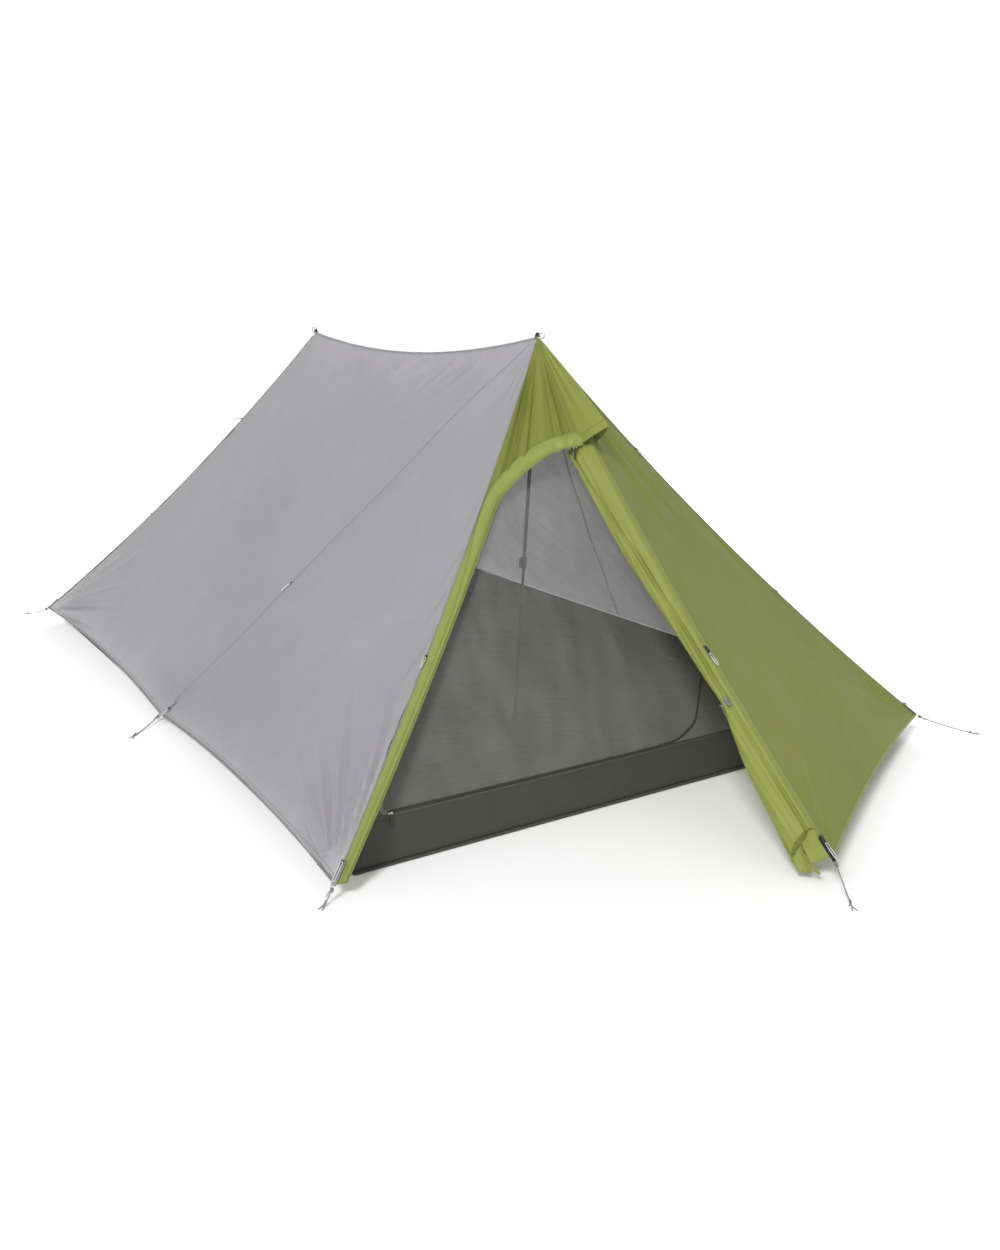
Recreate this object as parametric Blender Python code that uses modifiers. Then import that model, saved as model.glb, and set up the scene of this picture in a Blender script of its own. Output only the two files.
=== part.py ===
"""Two-pole ridge tent: grey fly with green vestibules, and an inner tent with a bathtub floor.

Metres, +Z up, origin on the ground under the middle of the ridge.  The ridge runs along Y, the
open door faces -Y, and -X is the left side of someone who looks out of the rear.
"""
import math

import bmesh
import bpy
from mathutils import Matrix, Vector

# Driving dimensions ------------------------------------------------------------------------
RIDGE_HEIGHT = 1.20        # height of both apexes
HALF_RIDGE = 0.777         # apex to middle, along Y
HALF_WIDTH = 0.984         # pegged corners, along X
HALF_LENGTH = 1.434        # pegged corners, along Y
SIDE_PEG_X = 0.953         # pegging point halfway along each side
SIDE_PEG_Y = -0.04
NOSE_Y = 1.984             # pegged tip of each vestibule
FRONT_LEFT_Z = 0.034       # heights of the hem at its pegging points
FRONT_RIGHT_Z = 0.063
REAR_CORNER_Z = 0.068
SIDE_PEG_Z = 0.018
NOSE_Z = 0.061

RIDGE_SAG = 0.059          # catenary cut of the ridge, and of the seams and hems below it
SEAM_SAG = 0.037
CENTRE_SEAM_SAG = 0.028
HEM_SAG = 0.024
NOSE_HEM_SAG = 0.022

SHEET = 0.0015             # thickness of every sheet of cloth in this model
SEAM_GAP = 0.004           # how far a panel stops short of a seam
TOUCH = 0.0003             # gap between two pieces that touch
RIM_DIP = 0.0012           # rise of a sloping sheet's lower rim, whose inner edge hangs lower

FLOOR_X = 0.900            # bathtub floor and its walls
FLOOR_Y = 1.347
WALL_HEIGHT = 0.12
WALL_TOP_X = 0.842
WALL_TOP_Y = 1.330
INNER_APEX_Y = 0.815       # where the mesh of the inner tent hangs from the fly
INNER_APEX_Z = 1.115
INNER_RIDGE_SAG = 0.065
INNER_SAG = 0.034          # how far the side mesh hangs in from the straight line, floor to ridge
INNER_SPLIT = 0.009        # half of the slot along the inner ridge that the poles pass through

POLE_FOOT_Y = 0.662        # the poles lean in towards the middle of the floor
POLE_TOP_Z = 1.180
OUTER_TUBE_R = 0.0055
LOWER_TUBE_R = 0.0045
TUBE_WALL = 0.0007
FOOT_R = 0.011
FOOT_LENGTH = 0.020
LOWER_TUBE_END = 0.640     # stations along the pole, measured from the floor
OUTER_TUBE_START = 0.520
OUTER_TUBE_END = 1.110
CLAMP_START = 0.512
CLAMP_END = 0.548
CLAMP_R = 0.0088

CORD_R = 0.0015
WEBBING_WIDTH = 0.013
WEBBING_THICK = 0.0016
TAB_LENGTH = 0.060

VEST_TOP = 0.045           # vestibule panels start this far down their seams, under the apex cap
ARCH_LEVEL = 0.230         # how far down the seams the top of the door arch is
ARCH_DROP = 0.112          # further drop of the arch where it meets the strip
ARCH_START = 0.107         # across the panel, from the side seam to the centre seam
ARCH_RUN = 0.25
STRIP_TOP_WIDTH = 0.0360   # green strip between the side seam and the door
STRIP_FOOT_WIDTH = 0.0220

# The rolled door: distance down the centre seam, reach beside it, and half its thickness
ROLL = (
    (0.262, 0.070, 0.009),
    (0.324, 0.071, 0.011),
    (0.453, 0.066, 0.013),
    (0.548, 0.053, 0.013),
    (0.625, 0.045, 0.012),
    (0.685, 0.041, 0.011),
    (0.730, 0.034, 0.010),
    (0.763, 0.048, 0.013),
    (0.824, 0.066, 0.018),
    (0.894, 0.074, 0.022),
    (0.935, 0.083, 0.024),
    (0.973, 0.088, 0.024),
)
ROLL_GAP = 0.004           # from the seam to the roll
ROLL_SINK = 0.4            # how deep the roll sits behind the seam, in half thicknesses
TIE_INDEX = 6              # the station where the roll is tied
TOGGLE_R = 0.0035
TOGGLE_LENGTH = 0.026

HOOD_TIP_Y = 1.120         # beak of each vent hood
HOOD_TIP_Z = 0.973
HOOD_SIDE_X = 0.042
HOOD_SIDE_Y = 1.066
HOOD_SIDE_Z = 0.920

GREY = (0.42, 0.41, 0.42)
GREEN = (0.24, 0.27, 0.07)
DARK = (0.06, 0.06, 0.055)
BLACK = (0.015, 0.015, 0.015)
MESH = (0.20, 0.20, 0.20)
METAL = (0.05, 0.05, 0.055)
SILVER = (0.6, 0.6, 0.62)
CORD_GREY = (0.45, 0.45, 0.45)

UP = Vector((0, 0, 1))


# Scene helpers -----------------------------------------------------------------------------
def clear_scene():
    for obj in list(bpy.data.objects):
        bpy.data.objects.remove(obj, do_unlink=True)


def new_collection(name):
    collection = bpy.data.collections.new(name)
    bpy.context.scene.collection.children.link(collection)
    return collection


def new_material(name, colour, roughness, metallic=0.0):
    material = bpy.data.materials.new(name)
    material.use_nodes = True
    shader = material.node_tree.nodes["Principled BSDF"]
    shader.inputs["Base Color"].default_value = (*colour, 1.0)
    shader.inputs["Roughness"].default_value = roughness
    shader.inputs["Metallic"].default_value = metallic
    return material


def add_object(name, data, look):
    """Links one named object with a material of its own."""
    obj = bpy.data.objects.new(name, data)
    data.materials.append(new_material(name + "_look", *look))
    TENT.objects.link(obj)
    return obj


def mesh_from(bm, name):
    data = bpy.data.meshes.new(name)
    bm.to_mesh(data)
    bm.free()
    return data


# Curves of the tent ------------------------------------------------------------------------
def bow(start, end, t, sag, towards):
    """A point on a shallow arc from start to end that bows by sag in the given direction."""
    return start.lerp(end, t) + towards * (4.0 * sag * t * (1.0 - t))


def apex(end):
    """end is -1 at the front and +1 at the rear."""
    return Vector((0, end * HALF_RIDGE, RIDGE_HEIGHT))


def nose(end):
    return Vector((0, end * NOSE_Y, NOSE_Z))


def corner(side, end):
    """side is -1 on the left and +1 on the right."""
    height = REAR_CORNER_Z
    if end < 0:
        height = FRONT_LEFT_Z if side < 0 else FRONT_RIGHT_Z
    return Vector((side * HALF_WIDTH, end * HALF_LENGTH, height))


def side_peg(side):
    return Vector((side * SIDE_PEG_X, SIDE_PEG_Y, SIDE_PEG_Z))


def droop(start, end):
    """The direction square to a chord, in its vertical plane, that points down."""
    chord = (end - start).normalized()
    return -(UP - chord * UP.dot(chord)).normalized()


def ridge(t):
    return bow(apex(-1), apex(1), t, RIDGE_SAG, -UP)


def side_seam(side, end, t):
    top = apex(end)
    foot = corner(side, end)
    return bow(top, foot, t, SEAM_SAG, droop(top, foot))


def centre_seam(end, t):
    top = apex(end)
    foot = nose(end)
    return bow(top, foot, t, CENTRE_SEAM_SAG, droop(top, foot))


def side_hem(side, t):
    """Front corner, side peg, rear corner: two arcs cut up into the panel."""
    lift = Vector((-0.6 * side, 0, 0.8))
    if t < 0.5:
        return bow(corner(side, -1), side_peg(side), 2 * t, HEM_SAG, lift)
    return bow(side_peg(side), corner(side, 1), 2 * t - 1, HEM_SAG, lift)


def nose_hem(side, end, t):
    lift = Vector((-0.4 * side, -0.5 * end, 0.75)).normalized()
    return bow(corner(side, end), nose(end), t, NOSE_HEM_SAG, lift)


def coons(top, bottom, left, right, u, v):
    """Surface point inside four boundary curves that share their corners."""
    across = top(u).lerp(bottom(u), v)
    down = left(v).lerp(right(v), u)
    flat = top(0).lerp(top(1), u).lerp(bottom(0).lerp(bottom(1), u), v)
    return across + down - flat


def side_surface(side, u, v):
    """Fly side: u from front to rear, v from ridge to hem."""
    return coons(
        ridge,
        lambda t: side_hem(side, t),
        lambda t: side_seam(side, -1, t),
        lambda t: side_seam(side, 1, t),
        u,
        v,
    )


def vestibule_surface(side, end, s, t):
    """Vestibule side: s from side seam to centre seam, t from apex to hem."""
    point = side_seam(side, end, t).lerp(centre_seam(end, t), s)
    hem_shift = nose_hem(side, end, s) - corner(side, end).lerp(nose(end), s)
    return point + hem_shift * t ** 3


def arch(s):
    """Lower edge of the gable above the door, as a distance down the seams."""
    return ARCH_LEVEL + ARCH_DROP * math.exp(-max(0.0, s - ARCH_START) / ARCH_RUN)


def strip_edge(t):
    """Door edge of the green strip, as a fraction of the way across the panel."""
    top = ARCH_LEVEL + ARCH_DROP
    fall = max(0.0, (t - top) / (1.0 - top)) ** 1.5
    width = STRIP_TOP_WIDTH + (STRIP_FOOT_WIDTH - STRIP_TOP_WIDTH) * fall
    return width / (HALF_WIDTH * t)


def inner_ridge(t):
    start = Vector((0, -INNER_APEX_Y, INNER_APEX_Z))
    end = Vector((0, INNER_APEX_Y, INNER_APEX_Z))
    return bow(start, end, t, INNER_RIDGE_SAG, -UP)


# Solids ------------------------------------------------------------------------------------
def cloth(name, surface, segments, outward, look, thick=SHEET):
    """A sheet with its outer face on surface(u, v), thickened inwards."""
    bm = bmesh.new()
    bmesh.ops.create_grid(bm, x_segments=segments[0], y_segments=segments[1], size=0.5)
    for vert in bm.verts:
        vert.co = surface(vert.co.x + 0.5, vert.co.y + 0.5)
    bm.normal_update()
    facing = sum((face.normal * face.calc_area() for face in bm.faces), Vector())
    if facing.dot(Vector(outward)) < 0:
        bmesh.ops.reverse_faces(bm, faces=bm.faces)
    obj = add_object(name, mesh_from(bm, name), look)
    solidify = obj.modifiers.new("Thickness", "SOLIDIFY")
    solidify.thickness = thick
    solidify.offset = -1
    return obj


def aim(start, direction, facing=None):
    """Matrix that stands local +Z along direction at start, with +X as near as can be to facing."""
    z_axis = direction.normalized()
    hint = facing if facing is not None else Vector((1, 0, 0))
    x_axis = (hint - z_axis * hint.dot(z_axis)).normalized()
    y_axis = z_axis.cross(x_axis)
    turn = Matrix((x_axis, y_axis, z_axis)).transposed().to_4x4()
    return Matrix.Translation(start) @ turn


def rod(name, start, end, radius, look, tip_radius=None, sides=20):
    """A solid round bar or cone from start to end, with its origin at start."""
    bm = bmesh.new()
    length = (end - start).length
    bmesh.ops.create_cone(
        bm,
        cap_ends=True,
        segments=sides,
        radius1=radius,
        radius2=radius if tip_radius is None else tip_radius,
        depth=length,
        matrix=Matrix.Translation((0, 0, length / 2)),
    )
    obj = add_object(name, mesh_from(bm, name), look)
    obj.matrix_world = aim(start, end - start)
    obj.data.shade_smooth()
    obj.data.set_sharp_from_angle(angle=math.radians(40))
    return obj


def pipe(name, start, end, radius, wall, look, sides=20):
    """An open tube from start to end: a round wall thickened inwards."""
    bm = bmesh.new()
    length = (end - start).length
    bmesh.ops.create_cone(
        bm,
        cap_ends=False,
        segments=sides,
        radius1=radius,
        radius2=radius,
        depth=length,
        matrix=Matrix.Translation((0, 0, length / 2)),
    )
    obj = add_object(name, mesh_from(bm, name), look)
    obj.matrix_world = aim(start, end - start)
    solidify = obj.modifiers.new("Wall", "SOLIDIFY")
    solidify.thickness = wall
    solidify.offset = -1
    obj.data.shade_smooth()
    obj.data.set_sharp_from_angle(angle=math.radians(40))
    return obj


def block(name, size, matrix, look, round_edges=0.0):
    """A bar whose local origin is the middle of its lower face."""
    bm = bmesh.new()
    bmesh.ops.create_cube(bm, size=1.0)
    bmesh.ops.scale(bm, vec=size, verts=bm.verts)
    bmesh.ops.translate(bm, vec=(0, 0, size[2] / 2), verts=bm.verts)
    obj = add_object(name, mesh_from(bm, name), look)
    obj.matrix_world = matrix
    if round_edges:
        bevel = obj.modifiers.new("Edges", "BEVEL")
        bevel.width = round_edges
        bevel.segments = 2
    return obj


def line(name, points, radii, look, resolution=2):
    """A tube through the given points, with filled ends."""
    curve = bpy.data.curves.new(name, "CURVE")
    curve.dimensions = "3D"
    curve.bevel_depth = 1.0
    curve.bevel_resolution = resolution
    curve.use_fill_caps = True
    spline = curve.splines.new("POLY")
    spline.points.add(len(points) - 1)
    for node, place, radius in zip(spline.points, points, radii):
        node.co = (*place, 1.0)
        node.radius = radius
    return add_object(name, curve, look)


# Fly ---------------------------------------------------------------------------------------
FABRIC_GREY = (GREY, 0.55)
FABRIC_GREEN = (GREEN, 0.5)


def build_fly_sides():
    for side, word in ((-1, "left"), (1, "right")):
        trim = SEAM_GAP / (2 * HALF_RIDGE)
        top = SEAM_GAP / 1.5

        def surface(u, v, side=side, trim=trim, top=top):
            return side_surface(side, trim + (1 - 2 * trim) * u, top + (1 - top) * v)

        cloth(f"fly_{word}_side", surface, (14, 8), (side, 0, 0.8), FABRIC_GREY)


def build_vestibule_panel(name, side, end):
    """A closed vestibule side, from the apex down to the hem."""

    def surface(u, v):
        t = VEST_TOP + (1 - VEST_TOP) * v
        inset = SEAM_GAP / t
        return vestibule_surface(side, end, inset + (1 - 2 * inset) * u, t)

    cloth(name, surface, (6, 10), (side, end, 0.8), FABRIC_GREEN)


def build_front_door_frame():
    """The open door leaves a strip along the side seam and a gable above its arch."""
    strip_top = ARCH_LEVEL + ARCH_DROP + 0.002

    def gable(u, v):
        t_low = arch(u)
        t = VEST_TOP + (t_low - VEST_TOP) * v
        inset = SEAM_GAP / t
        return vestibule_surface(-1, -1, inset + (1 - 2 * inset) * u, t)

    def strip(u, v):
        t = strip_top + (1 - strip_top) * v
        inset = SEAM_GAP / t
        return vestibule_surface(-1, -1, inset + (strip_edge(t) - inset) * u, t)

    cloth("front_gable", gable, (12, 6), (-1, -1, 0.8), FABRIC_GREEN)
    cloth("front_door_strip", strip, (1, 10), (-1, -1, 0.8), FABRIC_GREEN)


def build_hood(name, end):
    """A beak over the top of the vestibule's centre seam that keeps rain out of the vent."""
    top = Vector((0, end * (HALF_RIDGE + 0.040), RIDGE_HEIGHT - 0.020))
    tip = Vector((0, end * HOOD_TIP_Y, HOOD_TIP_Z))

    def surface(u, v):
        side = 2 * u - 1
        head = top + Vector((0.004 * side, 0, -0.004 * abs(side)))
        rim_side = Vector((side * HOOD_SIDE_X, end * HOOD_SIDE_Y, HOOD_SIDE_Z))
        rim = tip.lerp(rim_side, abs(side))
        return head.lerp(rim, v)

    cloth(name, surface, (6, 4), (0, end, 0.8), FABRIC_GREEN)


def roll_frame(t):
    """A point on the centre seam, with the directions along the roll, aside, and out of the door."""
    seam = centre_seam(-1, t)
    along = (centre_seam(-1, t + 0.01) - seam).normalized()
    hint = Vector((-0.75, -0.454, 0.481))
    outward = (hint - along * hint.dot(along)).normalized()
    return seam, along, along.cross(outward), outward


def roll_point(station, turn):
    """A point round the flattened section of the roll at one of its stations."""
    t, reach, half = ROLL[station]
    seam, _, aside, outward = roll_frame(t)
    wide = (reach - ROLL_GAP) / 2
    sideways = ROLL_GAP + wide * (1 + math.cos(turn))
    return seam + aside * sideways + outward * half * (math.sin(turn) - ROLL_SINK)


def build_rolled_door():
    """The door cloth, gathered beside the centre seam: a loft through its flattened sections."""
    bm = bmesh.new()
    last = len(ROLL) - 1
    bmesh.ops.create_grid(bm, x_segments=16, y_segments=last, size=0.5)
    for vert in bm.verts:
        turn = 2 * math.pi * (vert.co.x + 0.5)
        vert.co = roll_point(round((vert.co.y + 0.5) * last), turn)
    bmesh.ops.remove_doubles(bm, verts=bm.verts, dist=0.00001)
    bmesh.ops.holes_fill(bm, edges=bm.edges)
    bmesh.ops.recalc_face_normals(bm, faces=bm.faces)
    add_object("front_rolled_door", mesh_from(bm, "front_rolled_door"), FABRIC_GREEN)


# Inner tent --------------------------------------------------------------------------------
def build_bathtub():
    block("inner_floor", (2 * FLOOR_X, 2 * FLOOR_Y, SHEET), Matrix.Identity(4), (DARK, 0.5))
    low = SHEET + RIM_DIP

    def end_wall(end):
        def surface(u, v):
            x = (2 * u - 1) * (FLOOR_X + (WALL_TOP_X - FLOOR_X) * v - 2 * SHEET)
            y = end * (FLOOR_Y + (WALL_TOP_Y - FLOOR_Y) * v)
            return Vector((x, y, low + (WALL_HEIGHT - low) * v))

        return surface

    def side_wall(side):
        def surface(u, v):
            x = side * (FLOOR_X + (WALL_TOP_X - FLOOR_X) * v)
            y = (2 * u - 1) * (FLOOR_Y + (WALL_TOP_Y - FLOOR_Y) * v - 2 * SHEET)
            return Vector((x, y, low + (WALL_HEIGHT - low) * v))

        return surface

    for end, word in ((-1, "front"), (1, "rear")):
        cloth(f"inner_{word}_wall", end_wall(end), (4, 2), (0, end, 0), (DARK, 0.5))
    for side, word in ((-1, "left"), (1, "right")):
        cloth(f"inner_{word}_wall", side_wall(side), (4, 2), (side, 0, 0), (DARK, 0.5))


def build_inner_mesh():
    low = WALL_HEIGHT + RIM_DIP

    def end_mesh(end):
        def surface(u, v):
            x = (2 * u - 1) * (0.012 + (WALL_TOP_X - 4 * SHEET - 0.012) * v)
            y = end * (INNER_APEX_Y + (WALL_TOP_Y - INNER_APEX_Y) * v)
            return Vector((x, y, INNER_APEX_Z - 0.012 + (low - INNER_APEX_Z + 0.012) * v))

        return surface

    def side_mesh(side):
        def surface(u, v):
            top = inner_ridge(0.006 + 0.988 * u)
            foot_y = (2 * u - 1) * (WALL_TOP_Y - 4 * SHEET)
            foot = Vector((side * WALL_TOP_X, foot_y, low))
            start = top + Vector((side * INNER_SPLIT, 0, -INNER_SPLIT))
            return bow(start, foot, v, INNER_SAG, Vector((-0.7 * side, 0, -0.7)))

        return surface

    for end, word in ((-1, "front"), (1, "rear")):
        cloth(f"inner_{word}_mesh", end_mesh(end), (6, 5), (0, end, 0.5), (MESH, 0.8), 0.001)
    for side, word in ((-1, "left"), (1, "right")):
        cloth(f"inner_{word}_mesh", side_mesh(side), (8, 5), (side, 0, 0.8), (MESH, 0.8), 0.001)


# Poles -------------------------------------------------------------------------------------
def pole_line(end):
    """Foot on the floor and unit direction of one pole."""
    foot = Vector((0, end * POLE_FOOT_Y, SHEET + TOUCH))
    top = Vector((0, end * HALF_RIDGE, POLE_TOP_Z))
    return foot, (top - foot).normalized(), (top - foot).length


def build_pole(word, end):
    foot, along, length = pole_line(end)

    def station(distance):
        return foot + along * distance

    rod(f"{word}_pole_foot", foot + UP * FOOT_R * 0.1, station(FOOT_LENGTH), FOOT_R,
        (BLACK, 0.8), 0.008)
    rod(f"{word}_pole_lower", station(FOOT_LENGTH + TOUCH), station(LOWER_TUBE_END),
        LOWER_TUBE_R, (METAL, 0.3, 0.8))
    pipe(f"{word}_pole_upper", station(OUTER_TUBE_START), station(OUTER_TUBE_END),
         OUTER_TUBE_R, TUBE_WALL, (METAL, 0.3, 0.8))
    rod(f"{word}_pole_tip", station(OUTER_TUBE_END + TOUCH), station(length), OUTER_TUBE_R,
        (BLACK, 0.4), 0.0022)
    clamp_wall = CLAMP_R - OUTER_TUBE_R - TOUCH
    pipe(f"{word}_lock_clamp", station(CLAMP_START), station(CLAMP_END), CLAMP_R, clamp_wall,
         (BLACK, 0.4))
    build_lever(word, station, along)


def build_lever(word, station, along):
    """Cam lever of the pole's length lock, hinged at its upper end beside the clamp."""
    hinge = station(CLAMP_END - 0.004) + Vector((-1, 0, 0)) * (CLAMP_R + 0.004)
    lever = block(f"{word}_lock_lever", (0.005, 0.009, 0.030), Matrix.Identity(4),
                  (BLACK, 0.35), 0.0012)
    lever.matrix_world = aim(hinge + along * 0.002, -along)


# Hardware ----------------------------------------------------------------------------------
WEBBING = (BLACK, 0.8)


def build_tab(name, inner, outer, lift):
    """A flat webbing strap sewn over a seam, with its outer end at a pegging point."""
    along = (outer - inner).normalized()
    normal = (lift - along * lift.dot(along)).normalized()
    start = inner + normal * (0.0022 + WEBBING_THICK / 2)
    matrix = aim(start, along, along.cross(normal))
    length = (outer - inner).length + 0.004
    return block(name, (WEBBING_WIDTH, WEBBING_THICK, length), matrix, WEBBING, 0.0004)


def guyline(name, start, end):
    """A light cord drawn tight from a webbing tab to the ground."""
    length = (end - start).length
    count = max(5, round(length / 0.012))
    droop_sag = 0.02 * length
    points = [bow(start, end, k / count, droop_sag, -UP) for k in range(count + 1)]
    line(name, points, [CORD_R] * len(points), (CORD_GREY, 0.8))


def build_pegging_points():
    """Tabs at the corners, side pegs and noses, each with a short guyline to the ground."""
    ground = CORD_R + 0.0001
    corners = (
        ("front_left", -1, -1, (-1.020, -1.456, ground)),
        ("front_right", 1, -1, (1.144, -1.532, ground)),
        ("rear_left", -1, 1, (-1.030, 1.665, ground)),
        ("rear_right", 1, 1, (1.030, 1.665, ground)),
    )
    for word, side, end, peg in corners:
        tip = side_seam(side, end, 1.0)
        root = side_seam(side, end, 1.0 - TAB_LENGTH / 1.64)
        build_tab(f"{word}_tab", root, tip, Vector((side, end * 0.7, 1.2)))
        add_guyline(word, root, tip, Vector(peg))
    for side, word in ((-1, "left_side"), (1, "right_side")):
        tip = side_peg(side)
        root = side_surface(side, 0.488, 1.0 - TAB_LENGTH / 1.5)
        build_tab(f"{word}_tab", root, tip, Vector((side * 1.2, 0, 1)))
        add_guyline(word, root, tip, Vector((side * 1.072, -0.148, ground)))
    for end, word in ((-1, "front_nose"), (1, "rear_nose")):
        tip = centre_seam(end, 1.0)
        root = centre_seam(end, 1.0 - TAB_LENGTH / 1.66)
        build_tab(f"{word}_tab", root, tip, Vector((0, end, 1.06)))
        add_guyline(word, root, tip, Vector((end * 0.045, end * 2.083, ground)))


def add_guyline(word, root, tip, peg):
    """The cord starts just past the end of its tab."""
    along = (tip - root).normalized()
    start = tip + along * (0.004 + 3 * CORD_R)
    start += UP * 0.002
    guyline(f"{word}_guyline", start, peg)


def build_apex_caps():
    for end, word in ((-1, "front"), (1, "rear")):
        base = apex(end) + UP * TOUCH
        rod(f"{word}_apex_cap", base, base + UP * 0.012, 0.009, WEBBING, 0.004, 16)


def build_zip(word, place, along, normal, drop):
    """A slider on its track, and the pull that hangs from the slider's bridge."""
    slider = block(f"{word}_slider", (0.006, 0.0035, 0.011), Matrix.Identity(4),
                   (SILVER, 0.3, 0.9), 0.0008)
    slider.matrix_world = aim(place - along * 0.0055, along, along.cross(normal))
    hinge = place + normal * 0.0052
    across = along if abs(along.dot(drop)) < 0.5 else along.cross(normal)
    pull = block(f"{word}_pull", (0.0050, 0.0016, 0.034), Matrix.Identity(4),
                 (BLACK, 0.6), 0.0004)
    pull.matrix_world = aim(hinge + drop * 0.001, drop, across)


def build_zips():
    track = Vector((1, 0, 0))
    place = Vector((-0.790, -WALL_TOP_Y - 0.0045, WALL_HEIGHT + 0.002))
    build_zip("inner_door", place, track, Vector((0, -1, 0)), -UP)

    stop = vestibule_surface(-1, -1, 0.80, arch(0.80))
    far = vestibule_surface(-1, -1, 0.60, arch(0.60))
    track = (far - stop).normalized()
    side_line = vestibule_surface(-1, -1, 0.80, 0.5) - stop
    normal = side_line.cross(track).normalized()
    if normal.y > 0:
        normal = -normal
    build_zip("front_door", stop + side_line.normalized() * 0.006, track, normal, -UP)

    low = vestibule_surface(1, 1, strip_edge(0.96), 0.96)
    high = vestibule_surface(1, 1, strip_edge(0.45), 0.45)
    track = (high - low).normalized()
    inward = vestibule_surface(1, 1, 0.5, 0.96) - low
    normal = inward.cross(track).normalized()
    if normal.y < 0:
        normal = -normal
    build_zip("rear_door", low + normal * 0.003, track, normal, -track)


def build_door_tie():
    """The toggle that holds the rolled door, lying along the roll in its loop of cord."""
    t, reach, half = ROLL[TIE_INDEX]
    seam, along, aside, outward = roll_frame(t)
    lift = half * (1 - ROLL_SINK) + TOGGLE_R + 0.0012
    middle = seam + aside * (ROLL_GAP + reach) / 2 + outward * lift
    run = along * TOGGLE_LENGTH / 2
    rod("door_tie_toggle", middle - run, middle + run, TOGGLE_R, (BLACK, 0.5))


clear_scene()
TENT = new_collection("ridge_tent")
build_fly_sides()
build_front_door_frame()
build_vestibule_panel("front_right_panel", 1, -1)
build_vestibule_panel("rear_left_panel", -1, 1)
build_vestibule_panel("rear_right_panel", 1, 1)
build_hood("front_hood", -1)
build_hood("rear_hood", 1)
build_rolled_door()
build_bathtub()
build_inner_mesh()
build_pole("front", -1)
build_pole("rear", 1)
build_apex_caps()
build_pegging_points()
build_zips()
build_door_tie()
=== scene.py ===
"""Looks of the two-pole ridge tent: cloth, trims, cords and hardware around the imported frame.

Metres, +Z up, origin on the ground under the middle of the ridge, open door at -Y.
"""

import math

import bmesh
import bpy
import numpy as np
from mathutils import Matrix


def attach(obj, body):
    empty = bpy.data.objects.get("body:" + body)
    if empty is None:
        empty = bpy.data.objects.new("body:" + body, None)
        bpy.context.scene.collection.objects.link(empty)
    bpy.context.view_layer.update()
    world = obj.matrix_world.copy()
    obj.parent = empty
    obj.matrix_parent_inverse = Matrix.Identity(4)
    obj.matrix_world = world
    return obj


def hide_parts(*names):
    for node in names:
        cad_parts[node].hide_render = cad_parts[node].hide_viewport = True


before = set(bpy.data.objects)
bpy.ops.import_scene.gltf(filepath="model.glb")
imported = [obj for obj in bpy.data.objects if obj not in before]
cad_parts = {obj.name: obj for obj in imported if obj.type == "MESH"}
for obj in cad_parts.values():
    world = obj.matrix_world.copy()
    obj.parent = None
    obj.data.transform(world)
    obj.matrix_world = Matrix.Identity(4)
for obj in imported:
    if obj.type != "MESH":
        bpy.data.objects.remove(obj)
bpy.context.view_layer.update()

# Driving dimensions, as in the part --------------------------------------------------------
RIDGE_HEIGHT = 1.20
HALF_RIDGE = 0.777
HALF_WIDTH = 0.984
HALF_LENGTH = 1.434
SIDE_PEG_X = 0.953
SIDE_PEG_Y = -0.04
SIDE_PEG_Z = 0.018
NOSE_Y = 1.984
NOSE_Z = 0.061
FRONT_LEFT_Z = 0.034
FRONT_RIGHT_Z = 0.063
REAR_CORNER_Z = 0.068
RIDGE_SAG = 0.059
SEAM_SAG = 0.037
CENTRE_SEAM_SAG = 0.028
HEM_SAG = 0.024
NOSE_HEM_SAG = 0.022

FLOOR_X = 0.900
FLOOR_Y = 1.347
WALL_HEIGHT = 0.12
WALL_TOP_X = 0.842
WALL_TOP_Y = 1.330
INNER_APEX_Y = 0.815
INNER_APEX_Z = 1.115
INNER_RIDGE_SAG = 0.065
INNER_SAG = 0.034

ARCH_LEVEL = 0.230
ARCH_DROP = 0.112
ARCH_START = 0.107
ARCH_RUN = 0.25
STRIP_TOP_WIDTH = 0.0360
STRIP_FOOT_WIDTH = 0.0220

# The rolled door: distance down the centre seam, reach beside it, and half its thickness
ROLL = np.array(((0.222, 0.073, 0.007), (0.262, 0.070, 0.009), (0.324, 0.071, 0.011),
                 (0.453, 0.066, 0.013), (0.548, 0.053, 0.013), (0.625, 0.045, 0.012),
                 (0.685, 0.041, 0.011), (0.730, 0.034, 0.010), (0.763, 0.048, 0.013),
                 (0.824, 0.066, 0.018), (0.894, 0.074, 0.022), (0.935, 0.083, 0.024),
                 (0.985, 0.088, 0.024)))
GROOVE = np.array(((0.222, 0.064), (0.286, 0.059), (0.330, 0.053), (0.466, 0.031),
                   (0.634, 0.019), (0.738, 0.015), (0.846, 0.013), (0.985, 0.016)))
ROLL_GAP = 0.004
ROLL_SINK = 0.4
MOUTH = 0.951
TIE_STATION = 0.730
TOGGLE_R = 0.0035

HOOD_TIP_Y = 1.120
HOOD_TIP_Z = 0.973
CORD_R = 0.0015
TIE_R = 0.0009
TAB_LENGTH = 0.060
FLOOR_Z = 0.0008
APEX_HALF = 0.012          # half the width of an end mesh at its top
INNER_TOP = INNER_APEX_Z - 0.012

# Places across and up of the inner door's zip: along the top of the wall, then round the D
DOOR_ZIP = np.array(((-0.795, 0.124), (0.090, 0.1195), (0.180, 0.156), (0.262, 0.290), (0.310, 0.50),
                     (0.220, 0.76), (0.020, 1.06)))

# Lean and bend of the seam from the front apex to each side peg
PANEL_SEAMS = {-1: (0.747, 0.494), 1: (1.178, 1.356)}
SIDES = ((-1, "left"), (1, "right"))
ENDS = ((-1, "front"), (1, "rear"))
UP = np.array((0.0, 0.0, 1.0))
ASIDE = np.array((1.0, 0.0, 0.0))

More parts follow.
